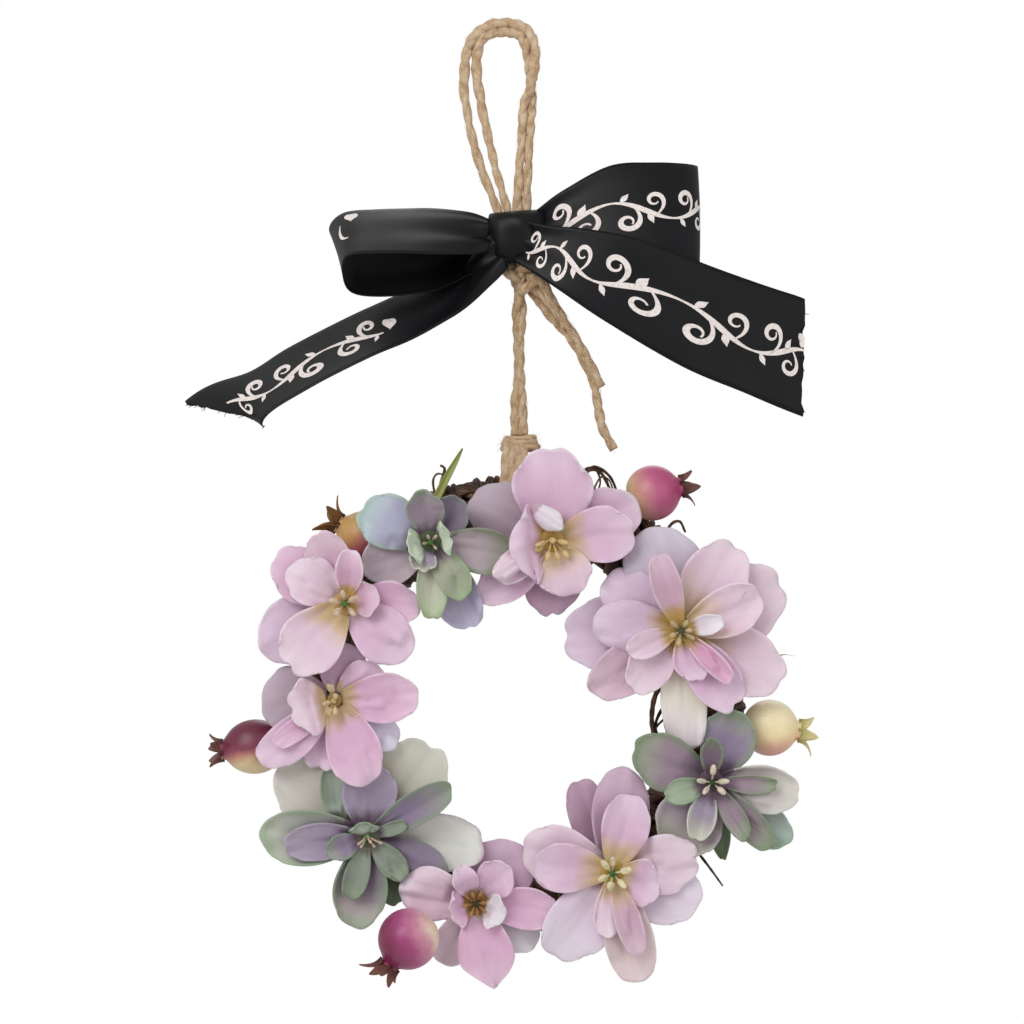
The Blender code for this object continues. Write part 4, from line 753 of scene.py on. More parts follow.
# The vine ring: a core, twigs that wind round it, thin ones that bind them, and stray ends
vine = {"x": 1.5, "z": -159.8, "radius": 46.4, "halfWidth": 8.4, "halfDepth": 7.5, "core": 0.72, "twigs": 12,
        "twigRadius": (0.9, 1.45), "windings": (3, 7),
        "wraps": ((61, 0.5), (43, 0.62), (37, 0.45), (29, 0.6)), "tones": (-0.12, 0.22), "steps": 150,
        "sides": 7, "colours": ("1e120c", "3b261b", "664a38", "977a60")}
twigs = [
    ([(16.0, -3.0, -113.0), (17.5, -4.0, -107.0), (18.8, -4.0, -103.8), (21.5, -4.0, -104.2),
      (23.5, -4.0, -107.5), (24.6, -3.5, -112.0), (24.0, -2.0, -116.0)], 0.55),
    ([(-16.0, -3.0, -112.0), (-16.6, -4.0, -107.5), (-15.6, -4.5, -103.6), (-16.6, -4.0, -102.6)], 0.5),
    ([(36.0, -2.0, -124.0), (38.0, -3.5, -117.4), (40.5, -3.0, -116.0), (42.0, -2.0, -118.6)], 0.5),
    ([(-46.0, 0.0, -143.0), (-51.0, 0.0, -137.2), (-55.8, -1.0, -139.4)], 0.5),
    ([(44.0, 0.0, -194.0), (48.0, -1.0, -199.2), (51.0, -1.0, -203.4)], 0.4),
    ([(-40.0, -2.0, -142.4), (-33.0, -2.0, -139.4), (-27.0, -2.0, -141.0), (-30.0, -2.0, -145.0),
      (-38.0, -1.0, -150.0)], 0.45),
    ([(45.0, -2.0, -150.0), (36.4, -3.0, -155.0), (34.0, -3.0, -161.5), (35.0, -3.0, -168.5),
      (40.0, -2.0, -173.5), (46.0, 0.0, -176.0)], 0.75),
    ([(46.0, 2.0, -153.0), (38.6, 1.5, -158.0), (37.4, 1.0, -164.0), (39.6, 1.0, -169.5),
      (46.0, 1.0, -173.0)], 0.75),
    ([(17.0, -2.0, -112.0), (16.6, -2.6, -106.4), (18.2, -3.0, -103.4), (20.4, -3.4, -103.6),
      (21.6, -3.0, -106.4), (20.6, -2.4, -109.6), (19.0, -2.0, -111.6)], 0.35),
    ([(19.0, -4.4, -113.0), (20.0, -5.0, -108.4), (21.8, -5.2, -105.4), (23.8, -5.0, -106.4),
      (24.8, -4.4, -109.4), (26.0, -3.6, -112.6)], 0.3),
    ([(-17.6, -3.6, -111.0), (-18.4, -4.6, -106.6), (-17.2, -4.8, -104.6), (-14.4, -4.6, -105.6)], 0.35),
    ([(-8.0, -5.0, -110.6), (-5.6, -5.4, -107.8), (-4.8, -5.2, -105.6)], 0.5),
    ([(45.0, -1.0, -152.0), (39.2, -2.0, -157.0), (34.8, -2.4, -165.0), (38.8, -2.0, -171.0),
      (45.0, -1.0, -174.0)], 0.5),
    ([(44.0, -3.0, -148.0), (37.4, -3.6, -153.0), (38.4, -3.6, -161.0), (34.6, -3.4, -166.0),
      (37.0, -3.0, -171.5), (44.0, -2.0, -178.0)], 0.4),
    ([(17.6, -3.4, -112.6), (17.4, -3.8, -106.0), (20.0, -4.2, -103.0), (23.6, -4.2, -105.0),
      (25.4, -3.8, -109.0), (25.0, -3.0, -113.6)], 0.5),
    ([(-24.0, -5.0, -117.0), (-20.6, -5.6, -113.4), (-14.0, -5.8, -110.4), (-8.0, -5.6, -108.6),
      (-3.0, -5.0, -107.4)], 0.5),
]


def vineMaterial():
    # Dried vine twigs, stripped and stained: dark brown bark, dull, ridged along its length
    material, tree, shader = newMaterial("dried_vine_bark", {"Roughness": 0.72, "IOR": 1.5,
                                                              "Specular IOR Level": 0.35})
    lay = addNode(tree, "ShaderNodeAttribute", {"attribute_name": "grain"})
    tone = addNode(tree, "ShaderNodeAttribute", {"attribute_name": "tone"})
    drawn = addNode(tree, "ShaderNodeMapping", {"Scale": (2.2, 2.2, 0.22)}, {"Vector": lay.outputs["Vector"]})
    streak = addNode(tree, "ShaderNodeTexNoise", {"Scale": 1.4, "Detail": 4.0, "Roughness": 0.6},
                     {"Vector": drawn.outputs[0]})
    both = addNode(tree, "ShaderNodeMath", {"operation": "ADD"}, {0: streak.outputs["Fac"],
                                                                  1: tone.outputs["Fac"]})
    ramp = addNode(tree, "ShaderNodeValToRGB", {"stops": list(zip((0.3, 0.5, 0.68, 0.86), vine["colours"]))},
                   {"Fac": both.outputs[0]})
    tree.links.new(ramp.outputs["Color"], shader.inputs["Base Color"])
    bump = addNode(tree, "ShaderNodeBump", {"Strength": 0.6, "Distance": 0.2 * mm},
                   {"Height": streak.outputs["Fac"]})
    tree.links.new(bump.outputs[0], shader.inputs["Normal"])
    return material


def ringSpot(around, across, share):  # a point of the ring, share of the way from its middle line to its skin
    out = vine["radius"] + vine["halfWidth"] * share * math.cos(across)
    return Vector((vine["x"] + out * math.cos(around), vine["halfDepth"] * share * math.sin(across),
                   vine["z"] + out * math.sin(around)))


def addTwig(shape, path, radii, draw):
    points, faces, grain = sweep(path, radii, vine["sides"])
    shift = draw.uniform(0, 500)
    tone = draw.uniform(*vine["tones"])
    shape.add(points, faces, grain=[(a, b, run + shift) for a, b, run in grain], tone=tone)


def makeVine():
    draw = random.Random("vine")
    shape = Shape()
    steps = vine["steps"]
    core = [ringSpot(2 * math.pi * i / steps, 0.0, 0.0) for i in range(steps + 1)]
    addTwig(shape, core, [vine["halfDepth"] * vine["core"]] * len(core), draw)
    for k in range(vine["twigs"]):
        start, phase = draw.uniform(0, 2 * math.pi), draw.uniform(0, 2 * math.pi)
        winding = draw.randint(*vine["windings"])
        radius = draw.uniform(*vine["twigRadius"])
        path, radii = [], []
        for i in range(steps + 3):
            around = start + 2 * math.pi * i / steps
            across = 2 * math.pi * k / vine["twigs"] + winding * (around - start)
            share = 1 - radius / vine["halfDepth"] + 0.04 * math.sin(5 * around + phase)
            path.append(ringSpot(around, across, share))
            radii.append(radius * (1 + 0.14 * math.sin(9 * around + 2 * phase)))
        addTwig(shape, path, radii, draw)
    for turns, radius in vine["wraps"]:
        phase = draw.uniform(0, 2 * math.pi)
        count = turns * 20
        share = 1.0 - 0.3 * radius / vine["halfDepth"]
        path = []
        for i in range(count + 1):
            around = 2 * math.pi * i / count
            wobble = 0.5 * math.sin(3 * around + phase) + 0.3 * math.sin(11 * around)
            path.append(ringSpot(around, turns * around + phase + wobble, share))
        addTwig(shape, path, [radius] * len(path), draw)
    for route, radius in twigs:
        path = densePath(route, 0.8)
        count = len(path) - 1
        radii = [radius * (1 - 0.45 * i / count) * (1 + 0.1 * math.sin(i * 1.7)) for i in range(count + 1)]
        addTwig(shape, path, radii, draw)
    piece = shape.build("vine_ring_twigs", [vineMaterial()])
    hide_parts("vine_ring")
    print("vine:", len(shape.faces), "faces")


# Petals. The tables and the rule of laying are those of the solids, with each petal's dye added
petalForm = {"thick": 0.32, "root": 1.8, "rootShare": 0.4, "widest": 0.6, "tipShare": 0.86, "tipRound": 0.42,
             "arch": 0.06, "rows": 24, "columns": 22, "clear": 1.3, "close": 0.75, "limit": 7.0,
             "rootHold": 0.25, "ownHold": 0.55, "laySteps": 8, "standing": 3.5, "spill": 0.3,
             "corner": 0.14, "ruffle": 0.65, "sway": 0.8, "pleat": 0.35, "crease": 0.36, "outline": 0.02,
             "skew": 0.13, "notches": (0.0, 0.05, 0.1, 0.16), "rimSpread": 1.4, "weavePitch": 0.45,
             "curl": {"petal_pink": (-0.9, 1.2), "petal_green": (1.2, 2.4)},
             "rimShare": {"petal_pink": 0.5, "petal_green": 0.7}}
# middle, tip and rim colour, and how wide the rim's colour is as a share
dyes = {
    "lilac": ("dac0d5", "e2cddf", "efe2ee", 0.08), "paleLilac": ("e2d1e1", "e9dce9", "f3eaf4", 0.08),
    "pinkLilac": ("dfbdd5", "e7ccdf", "f3e3ee", 0.08), "pink": ("dfb6d1", "e6c5da", "f2dde9", 0.08),
    "palePink": ("e5cad9", "ecd7e2", "f6e8f1", 0.08), "dustyPink": ("d3b2c3", "dcc1cf", "ecd8e3", 0.08),
    "duskyMauve": ("ab8a9f", "bb9bb0", "ccb0c2", 0.07), "mauve": ("c4a4bb", "cfb3c7", "dfcbd9", 0.07),
    "greyMauve": ("b9a6b2", "c3b3be", "d1c4cd", 0.07), "greyPink": ("c6b0bc", "d0bec8", "dfd2da", 0.07),
    "greyLilac": ("cabdcd", "d5cbd8", "e2dae5", 0.07), "nearWhite": ("eadfe8", "f0e8ef", "f8f3f8", 0.1),
    # the magenta pink dye's wide near-white rim is partly the petal's paler cut edge and partly a painted
    # highlight along its folded rim
    "creamPink": ("e3c8d2", "e5c8da", "f1dfe6", 0.07), "magentaPink": ("dca9c6", "e4bcd2", "f6e8f0", 0.12),
    "pinkWhite": ("dab4ca", "e2c3d4", "f8eef5", 0.12), "pinkBeige": ("dfcaca", "e5d2d4", "f0e3e4", 0.07),
    "creamWhite": ("ece3d6", "efe1e6", "f7eff0", 0.08),
    "lavenderWhite": ("dcd6ea", "e5dff1", "f3f0f8", 0.08), "greyWhite": ("d1ccd1", "dcd8dc", "e9e7ea", 0.07),
    "iceGreen": ("b7b6cc", "bfd0d2", "b5cfb8", 0.2), "greenMauve": ("a2919f", "a59ea2", "8fa584", 0.2),
    "beigeGreen": ("b3a5ab", "93997f", "748a5e", 0.3), "warmGrey": ("c3b4bc", "cbbfc6", "d2cacd", 0.08),
    "creamGreen": ("cdcdbc", "c3cbb0", "98b285", 0.22), "sageGreen": ("adb09c", "acb79a", "94b186", 0.2),
    "greyLavender": ("b3aac2", "bfb8cf", "cdc9dc", 0.08), "mintWhite": ("d5e0cb", "dfe9d8", "b9d6b2", 0.24),
    "lavenderCream": ("a99cae", "c9c9bc", "d9ddcb", 0.24), "creamGrey": ("cfcabf", "d6d3ca", "dedbd4", 0.08),
    "sageCream": ("cac9b9", "d3d3c6", "dcdcd0", 0.08), "whiteGrey": ("d9d8d1", "e0e0da", "ccb3c0", 0.12),
    "mossMauve": ("8d7d8e", "c2b8b6", "86a07d", 0.42), "paleMint": ("a7a8a4", "cdd0c3", "98af8c", 0.32),
    "greyMint": ("a2ada0", "aebaa9", "8aa282", 0.26), "lavender": ("a697ad", "b2a5b8", "b8b0c0", 0.08),
    "lavenderGreen": ("9787a0", "a5a6a0", "8aa282", 0.34), "greySage": ("8f978a", "96a08c", "7d9177", 0.16),
    "darkGreen": ("6f7d64", "728469", "62795a", 0.24), "purpleGrey": ("8b7c92", "938a98", "7f8d79", 0.18),
    "mint": ("a7b59f", "b3c0a9", "90a886", 0.24), "mauveGreen": ("a28e9c", "a5a999", "819a72", 0.32),
    "cream": ("cbc4c2", "d8d5cb", "e0ddd2", 0.1), "paleBlueGreen": ("b3bfbb", "b7c6be", "9db99f", 0.2),
    "greyCream": ("a698a2", "b0b39f", "c8b9bf", 0.2), "darkMauve": ("836f80", "86847a", "829a76", 0.3),
}
roots = {
    "honey": ("d8c19a", 0.6), "tan": ("cbb08a", 0.28), "ochre": ("c3a260", 0.36), "gold": ("cfb488", 0.46),
    "brown": ("9a7850", 0.3), "plum": ("6e5969", 0.38), "moss": ("757266", 0.28), "soft": ("c4aab4", 0.22),
}
# the last field moves a petal's root away from the heart
petalFields = ("direction", "reach", "width", "seat", "rise", "cup", "roll", "bend", "point", "dye", "base",
               "shift")
blooms = {
    "bloom_at_12": {
        "slot": "petal_pink", "centre": (9.9, -120.4), "stand": 16.0,
        "throat": ("bc9a58", "8a6c36"), "pistil": "d6bb80", "bead": "dcc088",
        "heart": {"beads": 8, "beadRadius": 0.72, "beadLength": 2.6, "ring": 3.4,
                  "squash": (1.1, 0.6), "lean": (0.4, -1.5)},
        "petals": [
            (150, 21.7, 15.0, -2.5, 0.0, -1.0, 0.0, 0.0, 0.0, "greyMauve", "soft"),
            (88, 21.7, 19.3, -0.6, 2.5, 1.4, 0.0, 0.0, 0.0, "pinkLilac", "soft"),
            (20, 22.0, 15.0, -1.6, 1.2, 1.0, 0.0, 0.0, 0.0, "pinkLilac", "soft"),
            (8, 20.0, 13.5, 0.2, 2.5, 1.5, 0.0, 0.0, 0.0, "pinkLilac", "gold"),
            (-69, 14.0, 13.0, 1.0, 3.0, 1.5, 0.0, 0.0, 0.0, "creamPink", "honey"),
            (-87, 18.4, 13.5, -2.2, 0.0, 1.0, 0.0, 0.0, 0.3, "duskyMauve", "soft"),
            (188, 8.2, 19.0, 0.4, 7.5, 1.0, 0.0, 0.0, 0.0, "pinkLilac", "ochre"),
            (221, 21.7, 11.0, -1.4, 1.0, 1.5, 0.0, 0.0, 0.1, "pinkLilac", "soft"),
            (213, 16.0, 7.5, 0.6, 3.0, 2.0, 0.0, 0.0, 0.0, "palePink", "soft"),
            (-42, 10.6, 5.2, 4.6, 0.2, -1.6, 1.2, 0.9, 1.0, "nearWhite", "soft", (-5.8, 9.2)),
        ]},
    "bloom_at_11": {
        "slot": "petal_green", "centre": (-18.6, -120.8), "stand": 17.0,
        "throat": ("57604a", "3c4a2c"), "pistil": "4e7a34", "bead": "c4b2a2",
        "heart": {"beads": 4, "beadRadius": 0.4, "beadLength": 1.3, "ring": 1.9},
        "petals": [
            (154, 18.6, 13.2, -0.5, 1.0, -0.8, 0.0, 0.0, 0.0, "iceGreen", "plum"),
            (98, 12.4, 9.0, 0.6, 3.2, 1.2, 0.0, 0.8, 0.5, "greenMauve", "plum"),
            (54, 12.5, 9.5, -0.4, 2.5, 1.4, 0.0, 0.0, 0.2, "purpleGrey", "plum"),
            (-10, 21.0, 10.8, 0.2, 1.5, 1.2, 0.0, 0.0, 0.1, "beigeGreen", "soft"),
            (203, 17.5, 12.5, -2.6, -0.5, 0.8, 0.0, 0.0, 0.1, "warmGrey", "soft"),
            (-88, 17.9, 7.3, 0.6, 2.0, 1.8, 0.0, 0.0, 0.1, "creamGreen", "plum"),
            (-56, 15.6, 8.0, 0.9, 2.5, 1.8, 0.0, 0.0, 0.1, "sageGreen", "plum"),
            (-66, 22.6, 11.3, -1.8, 0.0, 0.6, 0.0, 0.0, 0.0, "greyLavender", "soft"),
            (196, 5.6, 8.4, 1.2, 3.4, 1.6, 0.0, 0.0, 0.1, "mintWhite", "moss"),
            (16, 5.2, 8.4, 1.2, 3.4, 1.6, 0.0, 0.0, 0.1, "mintWhite", "moss"),
            (-110, 7.2, 6.6, 1.6, 2.5, 0.8, 0.0, 0.0, 0.0, "lavenderCream", "plum"),
        ]},
    "bloom_at_10": {
        "slot": "petal_pink", "centre": (-38.7, -135.2), "stand": 17.5,
        "throat": ("c2a066", "8f7842"), "pistil": "4a8436", "bead": "dcc4a8",
        "heart": {"beads": 5},
        "petals": [
            (110, 18.2, 10.6, -0.6, 2.0, 1.8, 0.0, 0.0, 0.1, "dustyPink", "soft"),
            (148, 20.0, 13.2, -1.8, 0.5, 1.0, 0.0, 0.0, 0.0, "pink", "soft"),
            (145, 15.6, 11.8, 0.2, 1.8, 1.5, 0.0, 0.0, 0.0, "palePink", "soft"),
            (-2, 17.5, 11.5, -0.4, 1.5, 1.2, 0.0, 0.0, 0.2, "pink", "soft"),
            (229, 20.4, 15.0, 0.6, 2.4, 1.5, 0.0, 0.0, 0.0, "palePink", "gold"),
            (-39, 19.6, 13.2, 0.0, 1.5, 1.0, 0.0, 0.0, 0.0, "pinkLilac", "soft"),
            (205, 23.1, 15.6, -2.8, -1.0, 0.5, 0.0, 0.0, 0.0, "lilac", "soft"),
            (80, 11.8, 6.6, 1.2, 4.5, 2.0, 0.0, 0.0, 0.0, "pinkWhite", "ochre"),
            (10, 7.5, 8.5, 1.2, 4.0, 1.0, 0.0, 0.0, 0.0, "pinkWhite", "ochre"),
        ]},
    "bloom_at_9": {
        "slot": "petal_pink", "centre": (-41.3, -158.0), "stand": 16.5,
        "throat": ("b08f58", "7f6a3c"), "pistil": "c9ab74", "bead": "dcc69c",
        "heart": {"radius": 1.7, "beads": 6, "beadRadius": 0.6, "beadLength": 2.2, "ring": 3.4,
                  "squash": (0.35, 1.1), "lean": (-0.4, 0.2)},
        "petals": [
            (2, 19.8, 12.0, 0.0, 1.5, 1.4, 0.0, 0.0, 0.0, "pink", "tan"),
            (34, 13.6, 10.0, -0.8, 1.0, 1.0, 0.0, 0.0, 0.0, "pinkLilac", "tan"),
            (-33, 17.9, 9.4, -1.8, 0.0, 0.6, 0.0, 0.0, 0.0, "lavenderWhite", "soft"),
            (-67, 21.4, 12.8, 0.4, 2.0, 1.6, 0.0, 0.0, 0.0, "pink", "tan"),
            (195, 9.4, 14.0, 0.6, 7.0, 1.0, 0.0, 0.0, 0.0, "palePink", "gold"),
            (223, 22.9, 9.9, -0.6, 1.5, 1.4, 0.0, 0.0, 0.0, "pinkLilac", "soft"),
            (218, 17.2, 5.2, 1.0, 2.5, 1.2, 0.0, 0.0, 0.0, "pink", "gold"),
            (184, 18.0, 17.5, -3.0, -1.0, 0.5, 0.0, 0.0, 0.0, "greyMauve", "soft"),
            (75, 13.7, 12.3, -1.4, 1.0, 1.0, 0.0, 0.0, 0.0, "mauve", "soft"),
            (-104, 17.0, 11.0, -1.0, 0.8, 1.0, 0.0, 0.0, 0.0, "pinkLilac", "soft"),
        ]},
    "bloom_at_8": {
        "slot": "petal_green", "centre": (-33.5, -190.2), "stand": 15.5,
        "throat": ("5f6a4c", "414c34"), "pistil": "7c9a5c", "bead": "d3b8a8",
        "heart": {"beads": 5, "beadRadius": 0.36, "beadLength": 1.1, "ring": 2.8, "squash": (1.3, 0.3),
                  "lean": (0.2, -1.3), "pistilLength": 0.8},
        "petals": [
            (139, 26.0, 17.5, -2.4, -0.5, 0.8, 0.0, 0.0, 0.0, "creamGrey", "soft"),
            (53, 27.0, 18.0, -2.6, -0.5, 1.0, 0.0, 0.0, 0.0, "sageCream", "soft"),
            (-4, 27.8, 13.7, -1.6, 0.5, 1.0, 0.0, 0.0, 0.0, "whiteGrey", "soft"),
            (180, 25.0, 13.4, -0.8, 1.2, 2.4, 0.0, 0.0, 0.0, "paleMint", "plum"),
            (184, 19.4, 8.8, 0.4, 1.6, 1.4, 0.0, 0.0, 0.0, "lavender", "plum"),
            (97, 16.5, 6.8, -0.6, 1.2, 1.4, 0.0, 0.0, 0.0, "greyMint", "moss", (-6.4, 1.0)),
            (88, 17.6, 13.0, 0.4, 1.0, 0.6, 0.0, 0.0, 0.0, "lavender", "plum"),
            (32, 22.9, 7.8, 0.4, 2.5, 2.4, 0.0, 0.0, 0.0, "lavenderGreen", "moss"),
            (-97, 21.0, 12.8, 0.0, 1.5, 2.4, 0.0, 0.0, 0.0, "mossMauve", "plum"),
            (-45, 13.0, 6.2, 1.0, 2.0, 1.2, 0.0, 0.0, 0.0, "greySage", "moss"),
            (-66, 17.2, 8.5, -1.2, 0.5, 0.8, 0.0, 0.0, 0.1, "darkGreen", "moss"),
            (-30, 21.5, 11.0, -0.6, 0.8, 1.0, 0.0, 0.0, 0.1, "purpleGrey", "plum"),
            (200, 9.9, 6.1, 1.2, 2.5, 1.0, 0.0, 0.0, 0.0, "lavenderGreen", "plum"),
            (-105, 15.0, 5.8, 1.4, 2.0, 1.2, 0.0, 0.0, 0.0, "greySage", "moss"),
            (20, 10.0, 3.2, 1.2, 2.2, 0.6, 0.0, 0.0, 0.1, "greySage", "plum"),
            (96, 4.8, 7.4, 2.4, 0.4, -1.6, 0.8, 0.0, 0.0, "greyMint", "moss", (-0.4, -1.2)),
        ]},
    "bloom_at_6": {
        "slot": "petal_pink", "centre": (-8.0, -205.7), "stand": 16.0,
        "throat": ("8f6a38", "4c3a1e"), "pistil": "3f4a24", "bead": "ae8054",
        "heart": {"beads": 8, "beadRadius": 0.42, "beadLength": 1.8, "ring": 2.6},
        "petals": [
            (168, 18.5, 13.5, -0.8, 1.0, 1.0, 0.0, 0.0, 0.1, "palePink", "soft"),
            (54, 17.0, 16.0, -2.2, 0.0, 0.8, 0.0, 0.0, 0.0, "mauve", "soft"),
            (50, 12.0, 9.4, 0.0, 1.5, 1.2, 0.0, 0.0, 0.0, "pinkLilac", "soft"),
            (-5, 19.8, 9.9, -0.6, 1.0, 1.2, 0.0, 0.0, 0.1, "pink", "soft"),
            (-80, 20.0, 13.2, 0.2, 1.5, 1.2, 0.0, 0.6, 1.05, "pink", "soft"),
            (-117, 16.5, 9.9, -0.6, 1.0, 1.0, 0.0, 0.0, 0.0, "greyPink", "soft"),
            (-38, 18.0, 10.0, -2.4, -0.6, 0.5, 0.0, 0.0, 0.1, "greyWhite", "soft"),
            (115, 9.0, 6.1, 1.2, 4.5, 1.2, 0.0, 0.0, 0.0, "pinkLilac", "brown"),
            (-20, 6.4, 8.5, 1.0, 4.5, 0.8, 0.0, 0.0, 0.1, "nearWhite", "brown"),
            (195, 6.6, 9.0, 1.0, 3.0, 0.8, 0.0, 0.0, 0.1, "pink", "brown"),
        ]},
    "bloom_at_5": {
        "slot": "petal_pink", "centre": (24.1, -198.6), "stand": 16.5,
        "throat": ("b8964e", "7d7a38"), "pistil": "4f8a34", "bead": "ece0ba",
        "petals": [
            (166, 22.2, 15.6, -1.4, 1.0, 1.4, 0.0, 0.0, 0.0, "palePink", "soft"),
            (172, 19.0, 11.8, 0.4, 2.0, 1.6, 0.0, 0.0, 0.0, "pinkLilac", "gold"),
            (82, 24.5, 13.7, -2.0, 0.0, 1.2, 0.0, 0.0, 0.0, "mauve", "soft"),
            (74, 19.4, 11.3, 0.0, 1.5, 1.6, 0.0, 0.0, 0.0, "pinkLilac", "gold"),
            (111, 22.6, 10.4, -3.2, -1.0, 0.5, 0.0, 0.0, 0.0, "duskyMauve", "soft"),
            (-22, 22.4, 15.5, -1.2, 0.8, 1.2, 0.0, 0.0, 0.0, "paleLilac", "soft"),
            (10, 20.5, 14.5, -0.4, 1.2, 1.4, 0.0, 0.0, 0.0, "palePink", "gold"),
            (-122, 24.3, 15.5, -0.6, 1.0, 1.4, 0.0, 0.0, 0.0, "paleLilac", "soft"),
            (-97, 14.9, 6.6, 0.8, 2.0, 1.4, 0.0, 0.0, 0.0, "palePink", "gold"),
            (-76, 26.9, 11.8, -0.4, 1.0, 1.6, 0.0, 0.0, 0.0, "pinkBeige", "gold"),
            (-72, 19.6, 6.2, 1.2, 3.0, 1.8, 0.0, 0.0, 0.1, "dustyPink", "gold"),
            (-15, 11.8, 11.4, 0.8, 2.0, 1.4, 0.0, 0.0, 0.0, "pinkLilac", "gold"),
        ]},
    "bloom_at_4": {
        "slot": "petal_green", "centre": (47.4, -177.2), "stand": 17.0,
        "throat": ("6a5266", "3a3a30"), "pistil": "33502c", "bead": "e4d8c2",
        "heart": {"beads": 5, "beadRadius": 0.75},
        "petals": [
            (68, 18.2, 13.2, -1.8, 0.0, 1.0, 0.0, 0.0, 0.0, "lavenderGreen", "plum"),
            (159, 20.0, 13.5, -1.4, 0.5, 1.4, 0.0, 0.0, 0.0, "mauveGreen", "plum"),
            (-7, 20.5, 11.3, -0.6, 1.0, 1.2, 0.0, 0.0, 0.0, "cream", "plum"),
            (-3, 15.3, 4.4, 0.8, 1.6, 1.0, 0.0, 0.0, 0.2, "mauveGreen", "plum"),
            (-39, 22.9, 10.4, -1.6, 0.4, 1.0, 0.0, 0.0, 0.0, "paleBlueGreen", "soft"),
            (-57, 15.6, 5.3, 0.8, 2.2, 1.6, 0.0, 0.0, 0.2, "mauveGreen", "plum"),
            (-47, 20.6, 7.0, 0.0, 1.5, 1.8, 0.0, 0.0, 0.1, "mauveGreen", "plum"),
            (-120, 19.2, 16.5, -0.8, 0.8, 1.0, 0.0, 0.0, 0.0, "greyCream", "plum"),
            (-82, 18.9, 5.4, -2.6, -0.4, 0.6, 0.0, 0.0, 0.8, "darkGreen", "moss"),
            (196, 11.8, 6.1, 0.8, 3.0, 1.2, 0.0, 0.0, 0.3, "mint", "plum"),
            (92, 10.6, 5.4, 0.8, 3.0, 1.4, 0.0, 0.0, 0.5, "darkMauve", "plum"),
            (-108, 13.7, 6.7, 1.0, 2.0, 1.4, 0.0, 0.0, 0.0, "lavenderCream", "plum"),
        ]},
    "bloom_at_2": {
        "slot": "petal_pink", "centre": (40.1, -141.6), "stand": 17.5,
        "throat": ("a8864c", "5f5a34"), "pistil": "5c5a30", "bead": "cdb890",
        "heart": {"beadRadius": 0.6, "beadLength": 2.2, "ring": 2.5},
        "petals": [
            (183, 28.0, 18.0, -3.0, -1.5, 0.8, 0.0, 0.0, 0.0, "lilac", "soft"),
            (174, 21.2, 12.2, 0.0, 1.0, -0.8, 0.0, 0.0, 0.0, "lilac", "ochre"),
            (148, 22.0, 13.5, -1.4, 0.0, -0.8, 0.0, 0.0, 0.0, "lilac", "brown"),
            (215, 25.2, 12.3, -2.2, -0.5, 0.8, 0.0, 0.0, 0.0, "dustyPink", "gold"),
            (227, 17.9, 10.6, -0.4, 1.0, 1.2, 0.0, 0.0, 0.0, "palePink", "ochre"),
            (200, 13.7, 6.4, 1.2, 2.0, 1.0, 0.0, 0.0, 0.0, "palePink", "ochre"),
            (103, 25.5, 19.0, -2.8, -1.0, 0.6, 0.0, 0.0, 0.0, "greyLilac", "soft"),
            (57, 24.0, 15.6, -0.8, 1.5, 1.6, 0.0, 0.0, 0.0, "palePink", "honey"),
            (24, 26.4, 19.8, -2.6, -0.5, 0.8, 0.0, 0.0, 0.0, "palePink", "soft"),
            (22, 20.8, 11.8, 0.2, 1.8, 1.6, 0.0, 0.0, 0.0, "palePink", "honey"),
            (-25, 26.6, 16.0, -1.6, 0.5, 1.2, 0.0, 0.0, 0.0, "palePink", "honey"),
            (-55, 22.4, 11.8, -0.2, 1.2, 1.4, 0.0, 0.0, 0.0, "pinkLilac", "ochre"),
            (-88, 28.0, 10.9, -1.8, 0.0, 1.0, 0.0, 0.0, 0.0, "creamWhite", "gold"),
            (-75, 12.3, 8.0, 1.0, 2.0, 1.4, 0.0, 0.0, 0.0, "pinkLilac", "ochre"),
            (109, 17.9, 7.0, 1.0, 4.5, 2.2, 0.0, 0.0, 0.0, "dustyPink", "ochre"),
            (15, 9.0, 4.8, 1.8, 5.0, 1.0, 0.0, 0.0, 0.1, "nearWhite", "ochre"),
            (-45, 16.5, 4.8, 1.4, 3.0, 2.0, 0.0, 0.0, 0.1, "magentaPink", "ochre"),
        ]},
}


